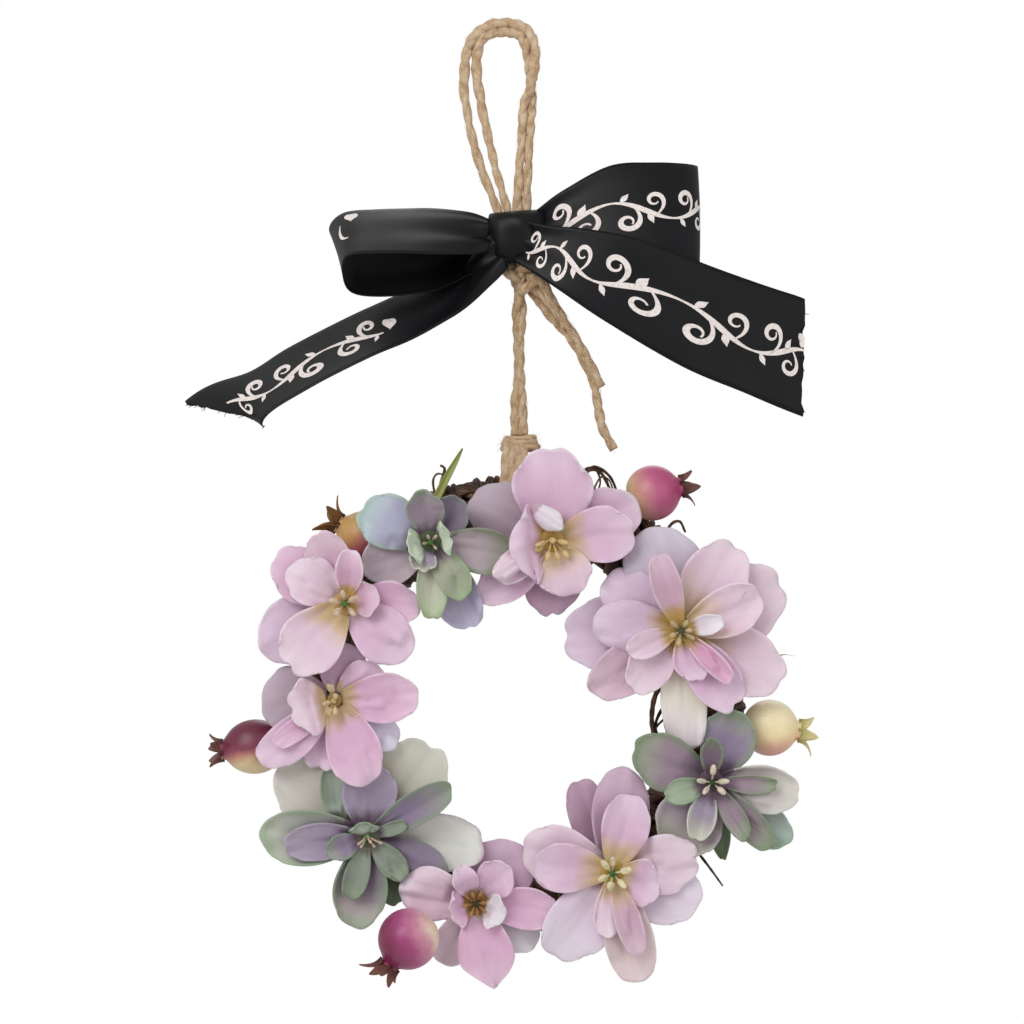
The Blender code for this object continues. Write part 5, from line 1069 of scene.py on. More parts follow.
def petalMaterial():
    # Polyester petal cloth, airbrushed with dye and heat-moulded: matt and soft, paler at its thin cut edge
    # one magenta pink dye's wide pale rim is partly a painted highlight, not only the paler cut edge
    material, tree, shader = newMaterial("moulded_petal_cloth", {
        "Roughness": 0.7, "IOR": 1.5, "Specular IOR Level": 0.22,
        "Sheen Weight": 0.18, "Sheen Roughness": 0.45,
        "Subsurface Weight": 0.25, "Subsurface Radius": (1.0, 0.75, 0.85), "Subsurface Scale": 0.8 * mm})
    mark = {name: addNode(tree, "ShaderNodeAttribute", {"attribute_name": name}).outputs
            for name in ("along", "edge", "rimWide", "rimShare", "rootWide", "rootDye", "middleDye",
                         "tipDye", "rimDye", "cloth", "fan")}
    blotch = addNode(tree, "ShaderNodeTexNoise", {"Scale": 0.22, "Detail": 3.0, "Roughness": 0.55},
                     {"Vector": mark["cloth"]["Vector"]})
    streak = addNode(tree, "ShaderNodeTexNoise", {"Scale": 1.5, "Detail": 3.0},
                     {"Vector": mark["fan"]["Vector"]})
    shift = addNode(tree, "ShaderNodeMath", {"operation": "MULTIPLY_ADD", 1: 0.3},
                    {0: blotch.outputs["Fac"], 2: mark["along"]["Fac"]})
    drift = addNode(tree, "ShaderNodeMath", {"operation": "SUBTRACT", 1: 0.15}, {0: shift.outputs[0]})
    rooted = addNode(tree, "ShaderNodeMapRange", {"interpolation_type": "SMOOTHSTEP", "From Min": 0.08},
                     {"Value": drift.outputs[0], "From Max": mark["rootWide"]["Fac"]})
    first = addNode(tree, "ShaderNodeMix", {"data_type": "RGBA"}, {
        0: rooted.outputs[0], 6: mark["rootDye"]["Color"], 7: mark["middleDye"]["Color"]})
    tipped = addNode(tree, "ShaderNodeMapRange", {"interpolation_type": "SMOOTHSTEP", "From Min": 0.5,
                                                  "From Max": 0.95}, {"Value": drift.outputs[0]})
    second = addNode(tree, "ShaderNodeMix", {"data_type": "RGBA"}, {
        0: tipped.outputs[0], 6: first.outputs[2], 7: mark["tipDye"]["Color"]})
    wavy = addNode(tree, "ShaderNodeMath", {"operation": "MULTIPLY_ADD", 1: 0.55},
                   {0: blotch.outputs["Fac"], 2: mark["edge"]["Fac"]})
    inward = addNode(tree, "ShaderNodeMath", {"operation": "SUBTRACT", 0: 1.25}, {1: mark["rimWide"]["Fac"]})
    rimmed = addNode(tree, "ShaderNodeMapRange", {"interpolation_type": "SMOOTHSTEP", "From Max": 1.3},
                     {"Value": wavy.outputs[0], "From Min": inward.outputs[0]})
    partly = addNode(tree, "ShaderNodeMath", {"operation": "MULTIPLY"}, {0: rimmed.outputs[0],
                                                                        1: mark["rimShare"]["Fac"]})
    third = addNode(tree, "ShaderNodeMix", {"data_type": "RGBA"}, {
        0: partly.outputs[0], 6: second.outputs[2], 7: mark["rimDye"]["Color"]})
    veins = addNode(tree, "ShaderNodeMapRange", {"From Min": 0.3, "From Max": 0.7,
                                                 "To Min": 0.965, "To Max": 1.03},
                    {"Value": streak.outputs["Fac"]})
    dyed = addNode(tree, "ShaderNodeMix", {"data_type": "RGBA", "blend_type": "MULTIPLY", 0: 1.0},
                   {6: third.outputs[2], 7: veins.outputs[0]})
    tree.links.new(dyed.outputs[2], shader.inputs["Base Color"])
    # the threads lie about 0.15 mm apart, too fine to show, so they are drawn three times as coarse
    wave = 0.314 / petalForm["weavePitch"]
    warp = addNode(tree, "ShaderNodeTexWave", {"bands_direction": "X", "Scale": wave, "Distortion": 0.4},
                   {"Vector": mark["cloth"]["Vector"]})
    weft = addNode(tree, "ShaderNodeTexWave", {"bands_direction": "Y", "Scale": wave, "Distortion": 0.4},
                   {"Vector": mark["cloth"]["Vector"]})
    weave = addNode(tree, "ShaderNodeMath", {"operation": "MULTIPLY"}, {0: warp.outputs["Fac"],
                                                                       1: weft.outputs["Fac"]})
    fine = addNode(tree, "ShaderNodeBump", {"Strength": 0.15, "Distance": 0.03 * mm},
                   {"Height": weave.outputs[0]})
    bump = addNode(tree, "ShaderNodeBump", {"Strength": 0.35, "Distance": 0.12 * mm},
                   {"Height": streak.outputs["Fac"], "Normal": fine.outputs[0]})
    tree.links.new(bump.outputs[0], shader.inputs["Normal"])
    return material


class Layers:  # what has been laid so far, by owner, to find how far forward the next petal must lie
    def __init__(self):
        self.sheets = []

    def add(self, owner, points, faces):
        xs, zs = [p[0] for p in points], [p[2] for p in points]
        self.sheets.append((owner, (min(xs), max(xs), min(zs), max(zs)), BVHTree.FromPolygons(points, faces)))

    def front(self, x, z, owner, own):  # the nearest Y to the viewer at a place, or None
        best = None
        for name, (left, right, low, high), tree in self.sheets:
            if (name == owner) == own and left <= x <= right and low <= z <= high:
                spot = tree.ray_cast(Vector((x, -far, z)), -toViewer)[0]
                if spot is not None and (best is None or spot.y < best):
                    best = spot.y
        return best


def widthShare(u, point):
    if u < petalForm["widest"]:
        share = petalForm["rootShare"]
        return share + (1 - share) * math.sin(math.pi / 2 * u / petalForm["widest"])
    tip = petalForm["tipShare"] * (1 - point) + 0.06 * point
    return tip + (1 - tip) * math.cos(math.pi / 2 * (u - petalForm["widest"]) / (1 - petalForm["widest"]))


def petalSpot(bloom, petal, u, v, lay=None, wave=None):  # the middle of a petal's cloth
    half = petal["width"] / 2
    share = widthShare(u, petal["point"])
    pull = petalForm["tipRound"] * half * (1 - petal["point"]) * u ** 3 * v * v
    along = petalForm["root"] + (petal["reach"] - petalForm["root"]) * u - pull
    side = half * share * v + petal["bend"] * u * u
    forward = petal["seat"] + petal["rise"] * u ** 1.4
    forward += petalForm["arch"] * petal["reach"] * math.sin(math.pi * u)
    forward += share * (petal["cup"] * v * v + petal["roll"] * v)
    if lay:
        forward += layAt(lay, u, v)
    if wave:
        corner = petalForm["corner"] * half * u ** 7 * abs(v) ** 5 * (1 - petal["point"])
        turn = math.atan2(v * share, (u - 0.45) * 1.8)
        rim = min(1.0, (v ** 4 + max(0.0, (u - 0.3) / 0.7) ** 4) ** 0.25)
        loose = rim ** 3 * min(1.0, 3 * u)
        edge = math.sin(2 * turn + wave["a"]) + 0.4 * math.sin(7 * turn + wave["b"])
        size = min(1.0, half / 6)
        along -= corner - petalForm["outline"] * petal["reach"] * rim ** 4 * edge * u * u
        along -= wave["notch"] * half * math.exp(-(v / 0.22) ** 2) * u ** 8
        side += half * wave["skew"] * u * u - math.copysign(corner, v)
        forward += petalForm["ruffle"] * size * loose * (math.sin(3 * turn + wave["c"])
                                                         + 0.4 * math.sin(8 * turn + wave["d"]))
        forward += wave["curl"] * size * rim ** 6 * u
        forward += petalForm["sway"] * size * u * math.sin(2.2 * v + wave["b"])
        pleat = petalForm["pleat"] * size * math.exp(-(u / 0.3) ** 2) * math.cos(9 * v + wave["d"])
        forward += pleat * min(1, 6 * u)
        forward += petalForm["crease"] * size * math.sin(math.pi * min(1.0, u * 1.2)) * (
            0.5 * math.cos(5 * v + wave["a"]) - math.exp(-(v / 0.16) ** 2))
    if petal["rise"] > petalForm["standing"]:  # a standing petal's tip spills outwards
        spill = petalForm["spill"] * petal["rise"] * max(0.0, (u - 0.6) / 0.4) ** 2
        forward -= spill
        along += 0.8 * spill
    direction = math.radians(petal["direction"])
    x = bloom["centre"][0] + petal["shift"][0] + along * math.cos(direction) - side * math.sin(direction)
    z = bloom["centre"][1] + petal["shift"][1] + along * math.sin(direction) + side * math.cos(direction)
    return Vector((x, -bloom["stand"] - forward, z))


def layOver(layers, name, bloom, petal, own, clear, hold):
    steps = petalForm["laySteps"]
    need = [[0.0] * (steps + 1) for _ in range(steps + 1)]
    for i in range(steps + 1):
        for j in range(steps + 1):
            spot = petalSpot(bloom, petal, i / steps, 2 * j / steps - 1)
            front = layers.front(spot.x, spot.z, name, own)
            if front is not None:
                short = spot.y + petalForm["thick"] / 2 + clear - front
                need[i][j] = min(petalForm["limit"], max(0.0, short))
    wide = [[max(need[a][b] for a in range(max(0, i - 1), min(steps + 1, i + 2))
                 for b in range(max(0, j - 1), min(steps + 1, j + 2)))
             for j in range(steps + 1)] for i in range(steps + 1)]
    for i in range(steps + 1):
        share = min(1.0, i / steps / hold)
        for j in range(steps + 1):
            wide[i][j] *= share * share * (3 - 2 * share)
    return wide


def layAt(lay, u, v):
    steps = petalForm["laySteps"]
    a, b = u * steps, (v + 1) / 2 * steps
    i, j = min(int(a), steps - 1), min(int(b), steps - 1)
    a, b = a - i, b - j
    a, b = a * a * (3 - 2 * a), b * b * (3 - 2 * b)
    top = lay[i][j] * (1 - b) + lay[i][j + 1] * b
    low = lay[i + 1][j] * (1 - b) + lay[i + 1][j + 1] * b
    return top * (1 - a) + low * a


def addPetal(shape, layers, name, bloom, petal, number):
    draw = random.Random("%s %d" % (name, number))
    wave = {key: draw.uniform(0, 2 * math.pi) for key in "abcd"}
    wave["curl"] = draw.uniform(*petalForm["curl"][bloom["slot"]])
    wave["notch"] = draw.choice(petalForm["notches"])
    wave["skew"] = draw.uniform(-petalForm["skew"], petalForm["skew"])
    others = layOver(layers, name, bloom, petal, False, petalForm["clear"], petalForm["rootHold"])
    own = layOver(layers, name, bloom, petal, True, petalForm["close"], petalForm["ownHold"])
    lay = [[max(a, b) for a, b in zip(row, other)] for row, other in zip(others, own)]
    rows, columns = petalForm["rows"], petalForm["columns"]
    grid, normals = [], []
    marks = {key: [] for key in ("along", "edge", "cloth", "fan")}
    small = 0.01
    for i in range(rows + 1):
        u = i / rows
        line, ups = [], []
        for j in range(columns + 1):
            v = 2 * j / columns - 1
            line.append(petalSpot(bloom, petal, u, v, lay, wave))
            down = petalSpot(bloom, petal, min(u + small, 1), v, lay, wave) - petalSpot(
                bloom, petal, max(u - small, 0), v, lay, wave)
            side = petalSpot(bloom, petal, u, min(v + small, 1), lay, wave) - petalSpot(
                bloom, petal, u, max(v - small, -1), lay, wave)
            ups.append(down.cross(side).normalized())
            marks["along"].append(u)
            marks["edge"].append(max(abs(v) ** 1.5, u ** 2.5) if u > 0.15 else 0.0)
            marks["cloth"].append((u * petal["reach"], v * petal["width"] / 2, 40.0 * number))
            marks["fan"].append((v * 3.0, u * 1.1, 7.0 * number))
        grid.append(line)
        normals.append(ups)
    middle, tip, rim, rimWide = dyes[petal["dye"]]
    root, rootWide = roots[petal["base"]]
    tones = {"middleDye": middle, "tipDye": tip, "rimDye": rim, "rootDye": root}
    count = (rows + 1) * (columns + 1)
    for key, colour in tones.items():
        marks[key] = [linear(colour)] * count
    marks["rimWide"] = [rimWide * petalForm["rimSpread"]] * count
    marks["rimShare"] = [petalForm["rimShare"][bloom["slot"]]] * count
    marks["rootWide"] = [rootWide] * count
    addSheet(shape, grid, normals, petalForm["thick"], marks)
    points = [spot for line in grid for spot in line]
    faces = [(i * (columns + 1) + j, i * (columns + 1) + j + 1, (i + 1) * (columns + 1) + j + 1,
              (i + 1) * (columns + 1) + j) for i in range(rows) for j in range(columns)]
    layers.add(name, points, faces)


def turned(profile, sides, place):  # a turned form: radius and height from bottom to top
    points, faces = [], []
    for radius, height in profile:
        for k in range(sides):
            turn = 2 * math.pi * k / sides
            points.append(place(radius * math.cos(turn), radius * math.sin(turn), height))
    for i in range(len(profile) - 1):
        for k in range(sides):
            a, b = i * sides + k, i * sides + (k + 1) % sides
            faces.append((a, b, b + sides, a + sides))
    faces.append(tuple(range(sides))[::-1])
    faces.append(tuple(range((len(profile) - 1) * sides, len(profile) * sides)))
    return points, faces


heart = {"radius": 2.9, "back": 4.6, "front": 0.6, "sides": 28, "beads": 6, "beadRadius": 0.85,
         "beadLength": 2.7, "ring": 2.9, "filament": 0.24, "pistilRadius": 0.8, "pistilLength": 2.4,
         "rise": (1.7, 3.1), "highest": 1.6, "neck": 1.6, "neckLength": 0.6,
         "squash": (1.0, 1.0), "lean": (0.0, 0.0)}


def heartMaterial(name, outer, inner):
    # Dyed cloth and floral paste at the heart: dull, darker towards the middle
    material, tree, shader = newMaterial(name, {"Roughness": 0.8, "IOR": 1.5, "Specular IOR Level": 0.2})
    inward = addNode(tree, "ShaderNodeAttribute", {"attribute_name": "inward"})
    lay = addNode(tree, "ShaderNodeTexCoord")
    rough = addNode(tree, "ShaderNodeTexNoise", {"Scale": 900.0, "Detail": 3.0},
                    {"Vector": lay.outputs["Object"]})
    mixed = addNode(tree, "ShaderNodeMath", {"operation": "MULTIPLY_ADD", 1: 0.3},
                    {0: rough.outputs["Fac"], 2: inward.outputs["Fac"]})
    ramp = addNode(tree, "ShaderNodeValToRGB", {"stops": [(0.25, outer), (0.9, inner)]},
                   {"Fac": mixed.outputs[0]})
    tree.links.new(ramp.outputs["Color"], shader.inputs["Base Color"])
    bump = addNode(tree, "ShaderNodeBump", {"Strength": 0.4, "Distance": 0.1 * mm},
                   {"Height": rough.outputs["Fac"]})
    tree.links.new(bump.outputs[0], shader.inputs["Normal"])
    return material


def pasteMaterial(name, colour, dark):
    # Stamens of floral paste dipped over wire: matt, slightly grainy, mottled with a darker tone of its
    # colour
    material, tree, shader = newMaterial(name, {"Roughness": 0.62, "IOR": 1.48, "Specular IOR Level": 0.35,
                                                "Subsurface Weight": 0.15, "Subsurface Scale": 0.5 * mm})
    lay = addNode(tree, "ShaderNodeTexCoord")
    rough = addNode(tree, "ShaderNodeTexNoise", {"Scale": 700.0, "Detail": 3.0},
                    {"Vector": lay.outputs["Object"]})
    ramp = addNode(tree, "ShaderNodeValToRGB", {"stops": [(0.3, dark), (0.6, colour)]},
                   {"Fac": rough.outputs["Fac"]})
    tree.links.new(ramp.outputs["Color"], shader.inputs["Base Color"])
    bump = addNode(tree, "ShaderNodeBump", {"Strength": 0.3, "Distance": 0.08 * mm},
                   {"Height": rough.outputs["Fac"]})
    tree.links.new(bump.outputs[0], shader.inputs["Normal"])
    return material


def shade(colour, share):  # a darker tone of a hex colour
    return "".join("%02x" % round(int(colour[i:i + 2], 16) * share) for i in (0, 2, 4))


# The core goes with the petals, green where it sits in the calyx; the stamens are a piece of their own
def makeHeart(name, bloom, shape):
    form = dict(heart, **bloom.get("heart", {}))
    x, z = bloom["centre"]
    highest = min(form["highest"], max(petal["seat"] for petal in bloom["petals"]))
    front = -bloom["stand"] - highest - form["front"]
    back = form["back"] - bloom["stand"]
    size = form["radius"]
    profile = [(form["neck"] * 0.9, back + form["neckLength"]), (form["neck"], back), (size * 0.7, back),
               (size, back - 0.9), (size, front + 0.9), (size * 0.8, front + 0.25),
               (size * 0.4, front + 0.05), (0.05, front)]
    points, faces = turned(profile, form["sides"], lambda a, b, y: Vector((x + a, y, z + b)))
    inward = [1 - min(1.0, ring / size) for ring, _ in profile for _ in range(form["sides"])]
    slots = [2 if i < 4 else 1 for i in range(len(profile) - 1) for _ in range(form["sides"])] + [2, 1]
    shape.add(points, faces, slots, inward=inward)
    draw = random.Random(name + " heart")
    stamens = Shape()
    base = front - 0.1
    count = form["beads"]
    for k in range(count):
        turn = 2 * math.pi * (k + 0.25 + draw.uniform(-0.28, 0.28)) / count
        out = Vector((math.cos(turn) * form["squash"][0], 0, math.sin(turn) * form["squash"][1]))
        lean = Vector((form["lean"][0], 0, form["lean"][1]))
        ring = form["ring"] * draw.uniform(0.72, 1.12)
        rise = draw.uniform(*form["rise"])
        middle = Vector((x, base, z))
        line = [middle + out * 0.5, middle + out * ring * 0.35 + lean * 0.4 + toViewer * rise * 0.5,
                middle + out * ring * 0.75 + lean + toViewer * rise * 0.85]
        path = smoothPath(line, 8)
        points, faces, _ = sweep(path, [form["filament"]] * 8, 6)
        stamens.add(points, faces)
        way = (path[-1] - path[-3]).normalized()
        side = way.cross(Vector((0.3, 0.8, 0.4))).normalized()
        other = way.cross(side)
        long = form["beadLength"] * draw.uniform(0.85, 1.15)
        wide = form["beadRadius"] * draw.uniform(0.85, 1.1)
        profile = [(wide * math.sin(math.pi * (0.04 + 0.92 * i / 10)) ** 0.8 * (1.1 - 0.3 * i / 10),
                    long * (0.5 - 0.5 * math.cos(math.pi * i / 10))) for i in range(11)]
        tip = path[-1] - way * 0.4
        points, faces = turned(profile, 14, lambda a, b, h: tip + side * a + other * b + way * h)
        stamens.add(points, faces)
    profile = [(form["pistilRadius"] * (1 - 0.35 * math.sin(math.pi * i / 8)) * (1 if i < 8 else 0.6),
                base - form["pistilLength"] * i / 8) for i in range(9)]
    points, faces = turned(profile, 12, lambda a, b, y: Vector((x + a, y, z + b)))
    stamens.add(points, faces, 1)
    bead, pistil = bloom["bead"], bloom["pistil"]
    pastes = [pasteMaterial(name + "_stamen_paste", bead, shade(bead, 0.82)),
              pasteMaterial(name + "_pistil_paste", pistil, shade(pistil, 0.6))]
    piece = stamens.build(name + "_beads", pastes)
    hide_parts(name + "_stamens")


def calyxMaterial():
    # Injection-moulded green polyethylene: waxy and dull, with paler streaks along the mould's draw
    material, tree, shader = newMaterial("moulded_calyx_plastic", {"Roughness": 0.5, "IOR": 1.51,
                                                                    "Subsurface Weight": 0.1,
                                                                    "Subsurface Scale": 0.5 * mm})
    lay = addNode(tree, "ShaderNodeTexCoord")
    drawn = addNode(tree, "ShaderNodeMapping", {"Scale": (600.0, 90.0, 600.0)},
                    {"Vector": lay.outputs["Object"]})
    streak = addNode(tree, "ShaderNodeTexNoise", {"Scale": 1.0, "Detail": 3.0}, {"Vector": drawn.outputs[0]})
    ramp = addNode(tree, "ShaderNodeValToRGB", {"stops": [(0.3, "4c6238"), (0.7, "728a54")]},
                   {"Fac": streak.outputs["Fac"]})
    tree.links.new(ramp.outputs["Color"], shader.inputs["Base Color"])
    bump = addNode(tree, "ShaderNodeBump", {"Strength": 0.3, "Distance": 0.1 * mm},
                   {"Height": streak.outputs["Fac"]})
    tree.links.new(bump.outputs[0], shader.inputs["Normal"])
    return material


def makeBlooms(layers):
    cloth = petalMaterial()
    green = calyxMaterial()
    for bloom in blooms.values():
        bloom["petals"] = [dict(zip(petalFields, petal + ((0.0, 0.0),))) for petal in bloom["petals"]]
    turns = []
    for name, bloom in blooms.items():
        for number, petal in enumerate(bloom["petals"]):
            turns.append((bloom["stand"] + petal["seat"] + 0.55 * petal["rise"], name, number))
    shapes = {name: Shape() for name in blooms}
    for _, name, number in sorted(turns):
        addPetal(shapes[name], layers, name, blooms[name], blooms[name]["petals"][number], number)
    for name, bloom in blooms.items():
        makeHeart(name, bloom, shapes[name])
        outer, inner = bloom["throat"]
        core = heartMaterial(name + "_heart", outer, inner)
        piece = shapes[name].build(name + "_cloth_petals", [cloth, core, green])
        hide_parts(name + "_petals")
        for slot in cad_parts[name + "_calyx"].material_slots:
            slot.material = green
    print("blooms:", len(turns), "petals")


# Berries: centre, how far forward, radius, length share and the direction of the crown; stops run from the
# shaded side to the sunny one, whose direction is x, forward, z
berries = {
    "berry_at_1": {"centre": (34.0, -109.2), "forward": 6.0, "radius": 6.6, "long": 1.0, "crown": 12,
                   "sun": (-0.85, -0.1, -0.3), "crownDye": ("4a2c2a", "7a5a50"),
                   "stops": ((0.12, "b64a76"), (0.42, "c26489"), (0.66, "d3938c"), (0.88, "e2ca94"))},
    "berry_at_10": {"centre": (-34.8, -119.8), "forward": 10.0, "radius": 6.2, "long": 1.0, "crown": 150,
                    "sepalLength": 6.0, "sun": (-0.6, 0.2, 0.6), "crownDye": ("4a3020", "8a6238"),
                    "stops": ((0.3, "9c4656"), (0.55, "b86c68"), (0.75, "c4925c"), (0.95, "cba468"))},
    "berry_at_9": {"centre": (-60.8, -169.6), "forward": 6.0, "radius": 6.5, "long": 1.15, "crown": 186,
                   "sepalLength": 4.0, "sun": (0.15, 0.1, -0.9), "crownDye": ("46262a", "86605a"),
                   "stops": ((0.3, "702a42"), (0.52, "8a3f55"), (0.66, "bd7c70"), (0.85, "e6cda0"))},
    "berry_at_7": {"centre": (-23.6, -213.4), "forward": None, "radius": 7.1, "long": 1.02, "crown": 233,
                   "sun": (0.9, 0.0, 0.35), "crownDye": ("4c2a2c", "84584e"),
                   "stops": ((0.15, "7e264c"), (0.5, "a94b7c"), (0.75, "d08aa2"), (0.95, "f2dcc2"))},
    "berry_at_3": {"centre": (61.8, -165.1), "forward": 7.2, "radius": 6.7, "long": 1.0, "crown": -6,
                   "sun": (-0.15, 0.3, 0.9), "crownDye": ("a8a058", "e4d9a0"),
                   "stops": ((0.08, "e09a94"), (0.3, "f4c4a4"), (0.5, "ffe9b8"), (0.85, "fff0c6"))},
}
berryForm = {"rings": 28, "sides": 36, "flat": 0.03, "stalk": 0.8, "sunk": 0.6, "sepals": 5,
             "sepalLength": 4.8, "sepalWidth": 3.1, "sepalThick": 0.45, "lengths": (0.75, 1.15),
             "spreads": (0.4, 1.1),
             "cut": 0.86, "neck": ((2.6, 0.945), (2.3, 1.0), (2.25, 1.05), (2.4, 1.09))}


def berryMaterial(name, berry):
    # Foam berry, sprayed in blended colours under satin lacquer: smooth, faintly dappled, softly shining
    material, tree, shader = newMaterial(name, {"Roughness": 0.38, "IOR": 1.47, "Specular IOR Level": 0.4,
                                                "Coat Weight": 0.2, "Coat Roughness": 0.3,
                                                "Subsurface Weight": 0.1, "Subsurface Scale": 1.0 * mm})
    sun = addNode(tree, "ShaderNodeAttribute", {"attribute_name": "sun"})
    lay = addNode(tree, "ShaderNodeTexCoord")
    dapple = addNode(tree, "ShaderNodeTexNoise", {"Scale": 220.0, "Detail": 4.0},
                     {"Vector": lay.outputs["Object"]})
    speck = addNode(tree, "ShaderNodeTexNoise", {"Scale": 2600.0, "Detail": 2.0},
                    {"Vector": lay.outputs["Object"]})
    wander = addNode(tree, "ShaderNodeMath", {"operation": "MULTIPLY_ADD", 1: 0.3},
                     {0: dapple.outputs["Fac"], 2: sun.outputs["Fac"]})
    back = addNode(tree, "ShaderNodeMath", {"operation": "SUBTRACT", 1: 0.15}, {0: wander.outputs[0]})
    ramp = addNode(tree, "ShaderNodeValToRGB", {"stops": berry["stops"]}, {"Fac": back.outputs[0]})
    flecked = addNode(tree, "ShaderNodeMapRange", {"From Min": 0.35, "From Max": 0.7, "To Min": 0.94,
                                                   "To Max": 1.04}, {"Value": speck.outputs["Fac"]})
    dyed = addNode(tree, "ShaderNodeMix", {"data_type": "RGBA", "blend_type": "MULTIPLY", 0: 1.0},
                   {6: ramp.outputs["Color"], 7: flecked.outputs[0]})
    tree.links.new(dyed.outputs[2], shader.inputs["Base Color"])
    bump = addNode(tree, "ShaderNodeBump", {"Strength": 0.12, "Distance": 0.06 * mm},
                   {"Height": dapple.outputs["Fac"]})
    tree.links.new(bump.outputs[0], shader.inputs["Normal"])
    return material


def crownMaterial(name, colours):
    # Dried sepals of dyed paper pulp: papery and dull, brown with paler tips
    material, tree, shader = newMaterial(name, {"Roughness": 0.82, "IOR": 1.5, "Specular IOR Level": 0.2})
    along = addNode(tree, "ShaderNodeAttribute", {"attribute_name": "along"})
    lay = addNode(tree, "ShaderNodeTexCoord")
    rough = addNode(tree, "ShaderNodeTexNoise", {"Scale": 800.0, "Detail": 4.0},
                    {"Vector": lay.outputs["Object"]})
    mixed = addNode(tree, "ShaderNodeMath", {"operation": "MULTIPLY_ADD", 1: 0.7},
                    {0: rough.outputs["Fac"], 2: along.outputs["Fac"]})
    ramp = addNode(tree, "ShaderNodeValToRGB", {"stops": [(0.3, colours[0]), (1.0, colours[1])]},
                   {"Fac": mixed.outputs[0]})
    tree.links.new(ramp.outputs["Color"], shader.inputs["Base Color"])
    bump = addNode(tree, "ShaderNodeBump", {"Strength": 0.5, "Distance": 0.15 * mm},
                   {"Height": rough.outputs["Fac"]})
    tree.links.new(bump.outputs[0], shader.inputs["Normal"])
    return material


def makeBerry(name, berry):
    turn = math.radians(berry["crown"])
    along = Vector((math.cos(turn), 0, math.sin(turn)))
    side = Vector((-math.sin(turn), 0, math.cos(turn)))
    back = Vector((0, 1, 0))
    middle = Vector((berry["centre"][0], -berry["forward"], berry["centre"][1]))
    radius, length = berry["radius"], berry["radius"] * berry["long"]
    rings, sides = berryForm["rings"], berryForm["sides"]
    draw = random.Random(name)
    lobes = draw.uniform(0, 6)
    profile = [(0.02, -length * 0.985)]
    for i in range(rings + 1):
        t = math.pi * (berryForm["flat"] + (1 - 2 * berryForm["flat"]) * i / rings)
        rise = -length * math.cos(t)
        dimple = 0.5 * math.exp(-(t / 0.35) ** 2)
        profile.append((radius * math.sin(t), rise + dimple))
    profile = [ring for ring in profile if ring[1] < berryForm["cut"] * length]
    profile += [(size, length * rise) for size, rise in berryForm["neck"]] + [(0.02, length * 1.08)]

    def place(a, b, h):
        swell = 1 + 0.012 * math.sin(5 * math.atan2(b, a) + lobes)
        return middle + side * a * swell + back * b * swell + along * h

    points, faces = turned(profile, sides, place)
    sun = Vector((berry["sun"][0], -berry["sun"][1], berry["sun"][2])).normalized()
    shape = Shape()
    shape.add(points, faces, sun=[0.5 + 0.5 * (spot - middle).dot(sun) / radius for spot in points])
    low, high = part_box(name)
    box = Vector(low) / mm, Vector(high) / mm
    start = middle - along * radius * berryForm["sunk"]
    if max((box[1] - box[0])[k] for k in (0, 2)) > 2.2 * length:
        seat = ringSeat(middle - along * radius)
        end = seat + (start - seat).normalized() * 0.3
        points, faces, _ = sweep([start, (start + end) / 2, end], [berryForm["stalk"]] * 3, 10)
        shape.add(points, faces, 1, sun=0.5)
    stalk = crownMaterial(name + "_stalk_dye", berry["crownDye"])
    piece = shape.build(name + "_lacquered", [berryMaterial(name + "_paint", berry), stalk])
    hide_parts(name)
    crown = Shape()
    end = middle + along * (length * 0.96)
    points, faces = turned([(2.2, 0.1), (2.3, 0.5), (1.7, 1.1), (0.6, 1.2)], 20,
                           lambda a, b, h: end + side * a + back * b + along * h)
    crown.add(points, faces, along=0.1)
    for k in range(berryForm["sepals"]):
        turn = 2 * math.pi * (k + draw.uniform(0.3, 0.7)) / berryForm["sepals"]
        out = side * math.cos(turn) + back * math.sin(turn)
        across = along.cross(out).normalized()
        long = berry.get("sepalLength", berryForm["sepalLength"]) * draw.uniform(*berryForm["lengths"])
        spread = draw.uniform(*berryForm["spreads"])
        kink = draw.uniform(-0.5, 0.8)
        grid, normals, marks = [], [], []
        for i in range(11):
            t = i / 10
            spot = end + along * (0.4 + long * t * (1 - 0.3 * spread * t))
            spot += out * (1.7 + long * spread * t * t)
            spot += across * kink * long * 0.3 * t * t
            width = berryForm["sepalWidth"] / 2 * (1 - t ** 1.6) ** 0.8 + 0.06
            line, ups = [], []
            for j in range(5):
                w = j / 2 - 1
                line.append(spot + across * width * w + out * 0.35 * width * w * w)
                ups.append((out - along * 0.3).normalized())
                marks.append(t)
            grid.append(line)
            normals.append(ups)
        addSheet(crown, grid, normals, berryForm["sepalThick"], {"along": marks})
    piece = crown.build(name + "_sepals", [crownMaterial(name + "_sepal_pulp", berry["crownDye"])])
    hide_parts(name + "_crown")


def ringSeat(spot):  # the point of the ring nearest to a spot
    around = math.atan2(spot.z - vine["z"], spot.x - vine["x"])
    looks = [ringSpot(around + math.radians(a), math.radians(b), 1.0) for a in range(-12, 13, 2)
             for b in range(0, 360, 6)]
    return min(looks, key=lambda look: (look - spot).length)


def makeBerries():
    for name, berry in berries.items():
        if berry["forward"] is None:
            low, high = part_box(name)
            berry["forward"] = -(low[1] + high[1]) / 2 / mm
        makeBerry(name, berry)
    print("berries:", len(berries))


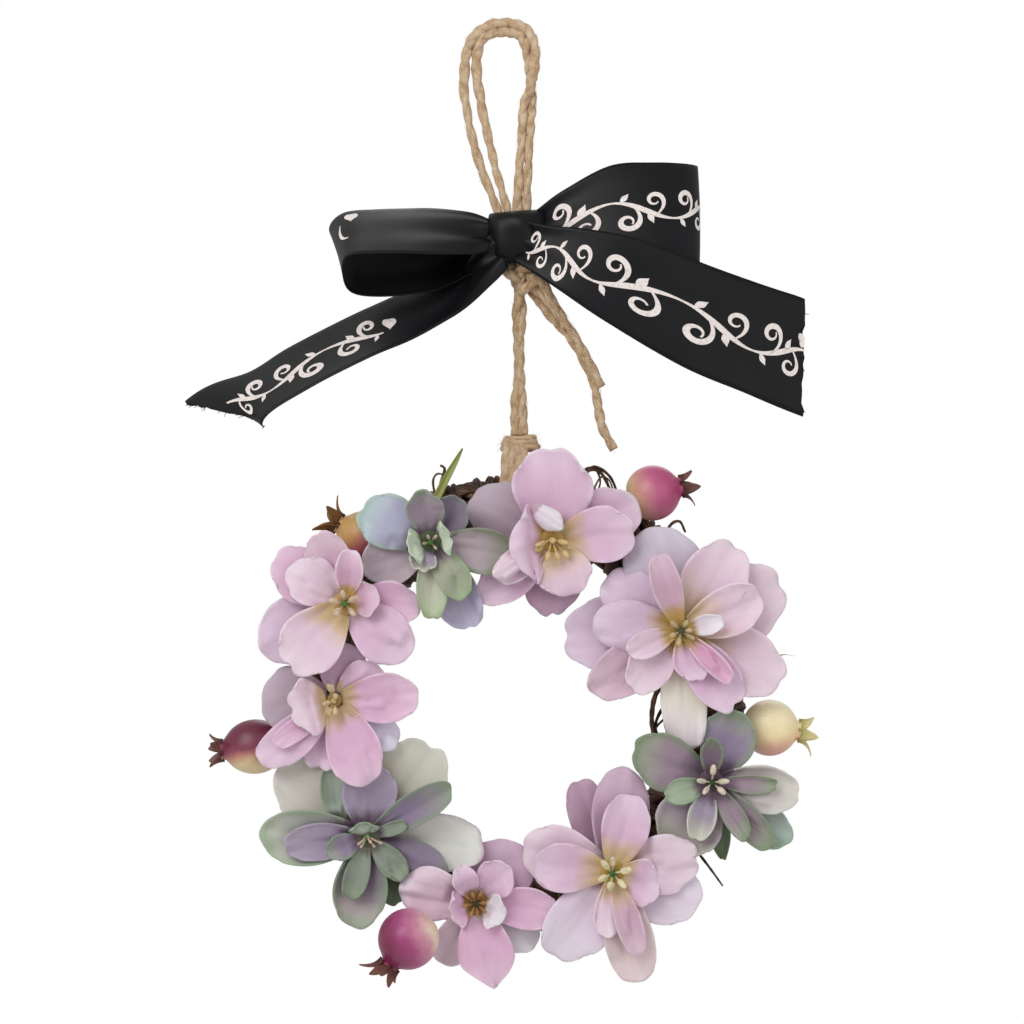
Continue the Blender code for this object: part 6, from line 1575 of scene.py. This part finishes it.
grass = {"route": [(-17.6, -5.6, -110.6), (-15.2, -5.6, -105.8), (-13.0, -5.4, -101.8), (-11.3, -5.0, -98.6)],
         "width": 2.0, "slant": 0.5, "fold": 0.25, "thick": 0.25,
         "wisp": [(62.0, -14.0, -148.2), (64.6, -14.4, -147.4), (67.4, -14.2, -147.8)]}


def makeGrass():
    # Moulded grass blade of dyed polyethylene: yellow green, satin, ribbed along its length
    material, tree, shader = newMaterial("moulded_grass_blade", {"Roughness": 0.45, "IOR": 1.51})
    lay = addNode(tree, "ShaderNodeAttribute", {"attribute_name": "cloth"})
    ribs = addNode(tree, "ShaderNodeTexWave", {"bands_direction": "Y", "Scale": 0.9, "Distortion": 0.5},
                   {"Vector": lay.outputs["Vector"]})
    ramp = addNode(tree, "ShaderNodeValToRGB", {"stops": [(0.2, "7f8a3c"), (0.8, "a9ac5e")]},
                   {"Fac": ribs.outputs["Fac"]})
    tree.links.new(ramp.outputs["Color"], shader.inputs["Base Color"])
    shape = Shape()
    for route, width in ((grass["route"], grass["width"]), (grass["wisp"], 0.5)):
        path = densePath(route, 0.6)
        grid, normals, cloth = [], [], []
        for i, spot in enumerate(path):
            t = i / (len(path) - 1)
            half = width / 2 * (1 - 0.8 * t ** 2)
            across = Vector((1, 0, -grass["slant"])).normalized()
            line, ups = [], []
            for j in range(7):
                w = j / 3 - 1
                line.append(spot + across * half * w + toViewer * grass["fold"] * width * abs(w))
                ups.append(toViewer)
                cloth.append((t * 14, half * w, 0.0))
            grid.append(line)
            normals.append(ups)
        addSheet(shape, grid, normals, grass["thick"], {"cloth": cloth})
    piece = shape.build("grass_blade_leaf", [material])
    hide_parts("grass_blade")
    print("grass done")


def firstLayers():  # the solids that petals lie over
    layers = Layers()
    for name in ("vine_ring", "jute_binding", "berry_at_1", "berry_at_10", "berry_at_9", "berry_at_3"):
        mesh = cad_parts[name].data
        points = [vert.co / mm for vert in mesh.vertices]
        layers.add(name, points, [tuple(face.vertices) for face in mesh.polygons])
    return layers


setView()
layers = firstLayers()
makeJute()
makeRibbon()
makeVine()
makeBlooms(layers)
makeBerries()
makeGrass()
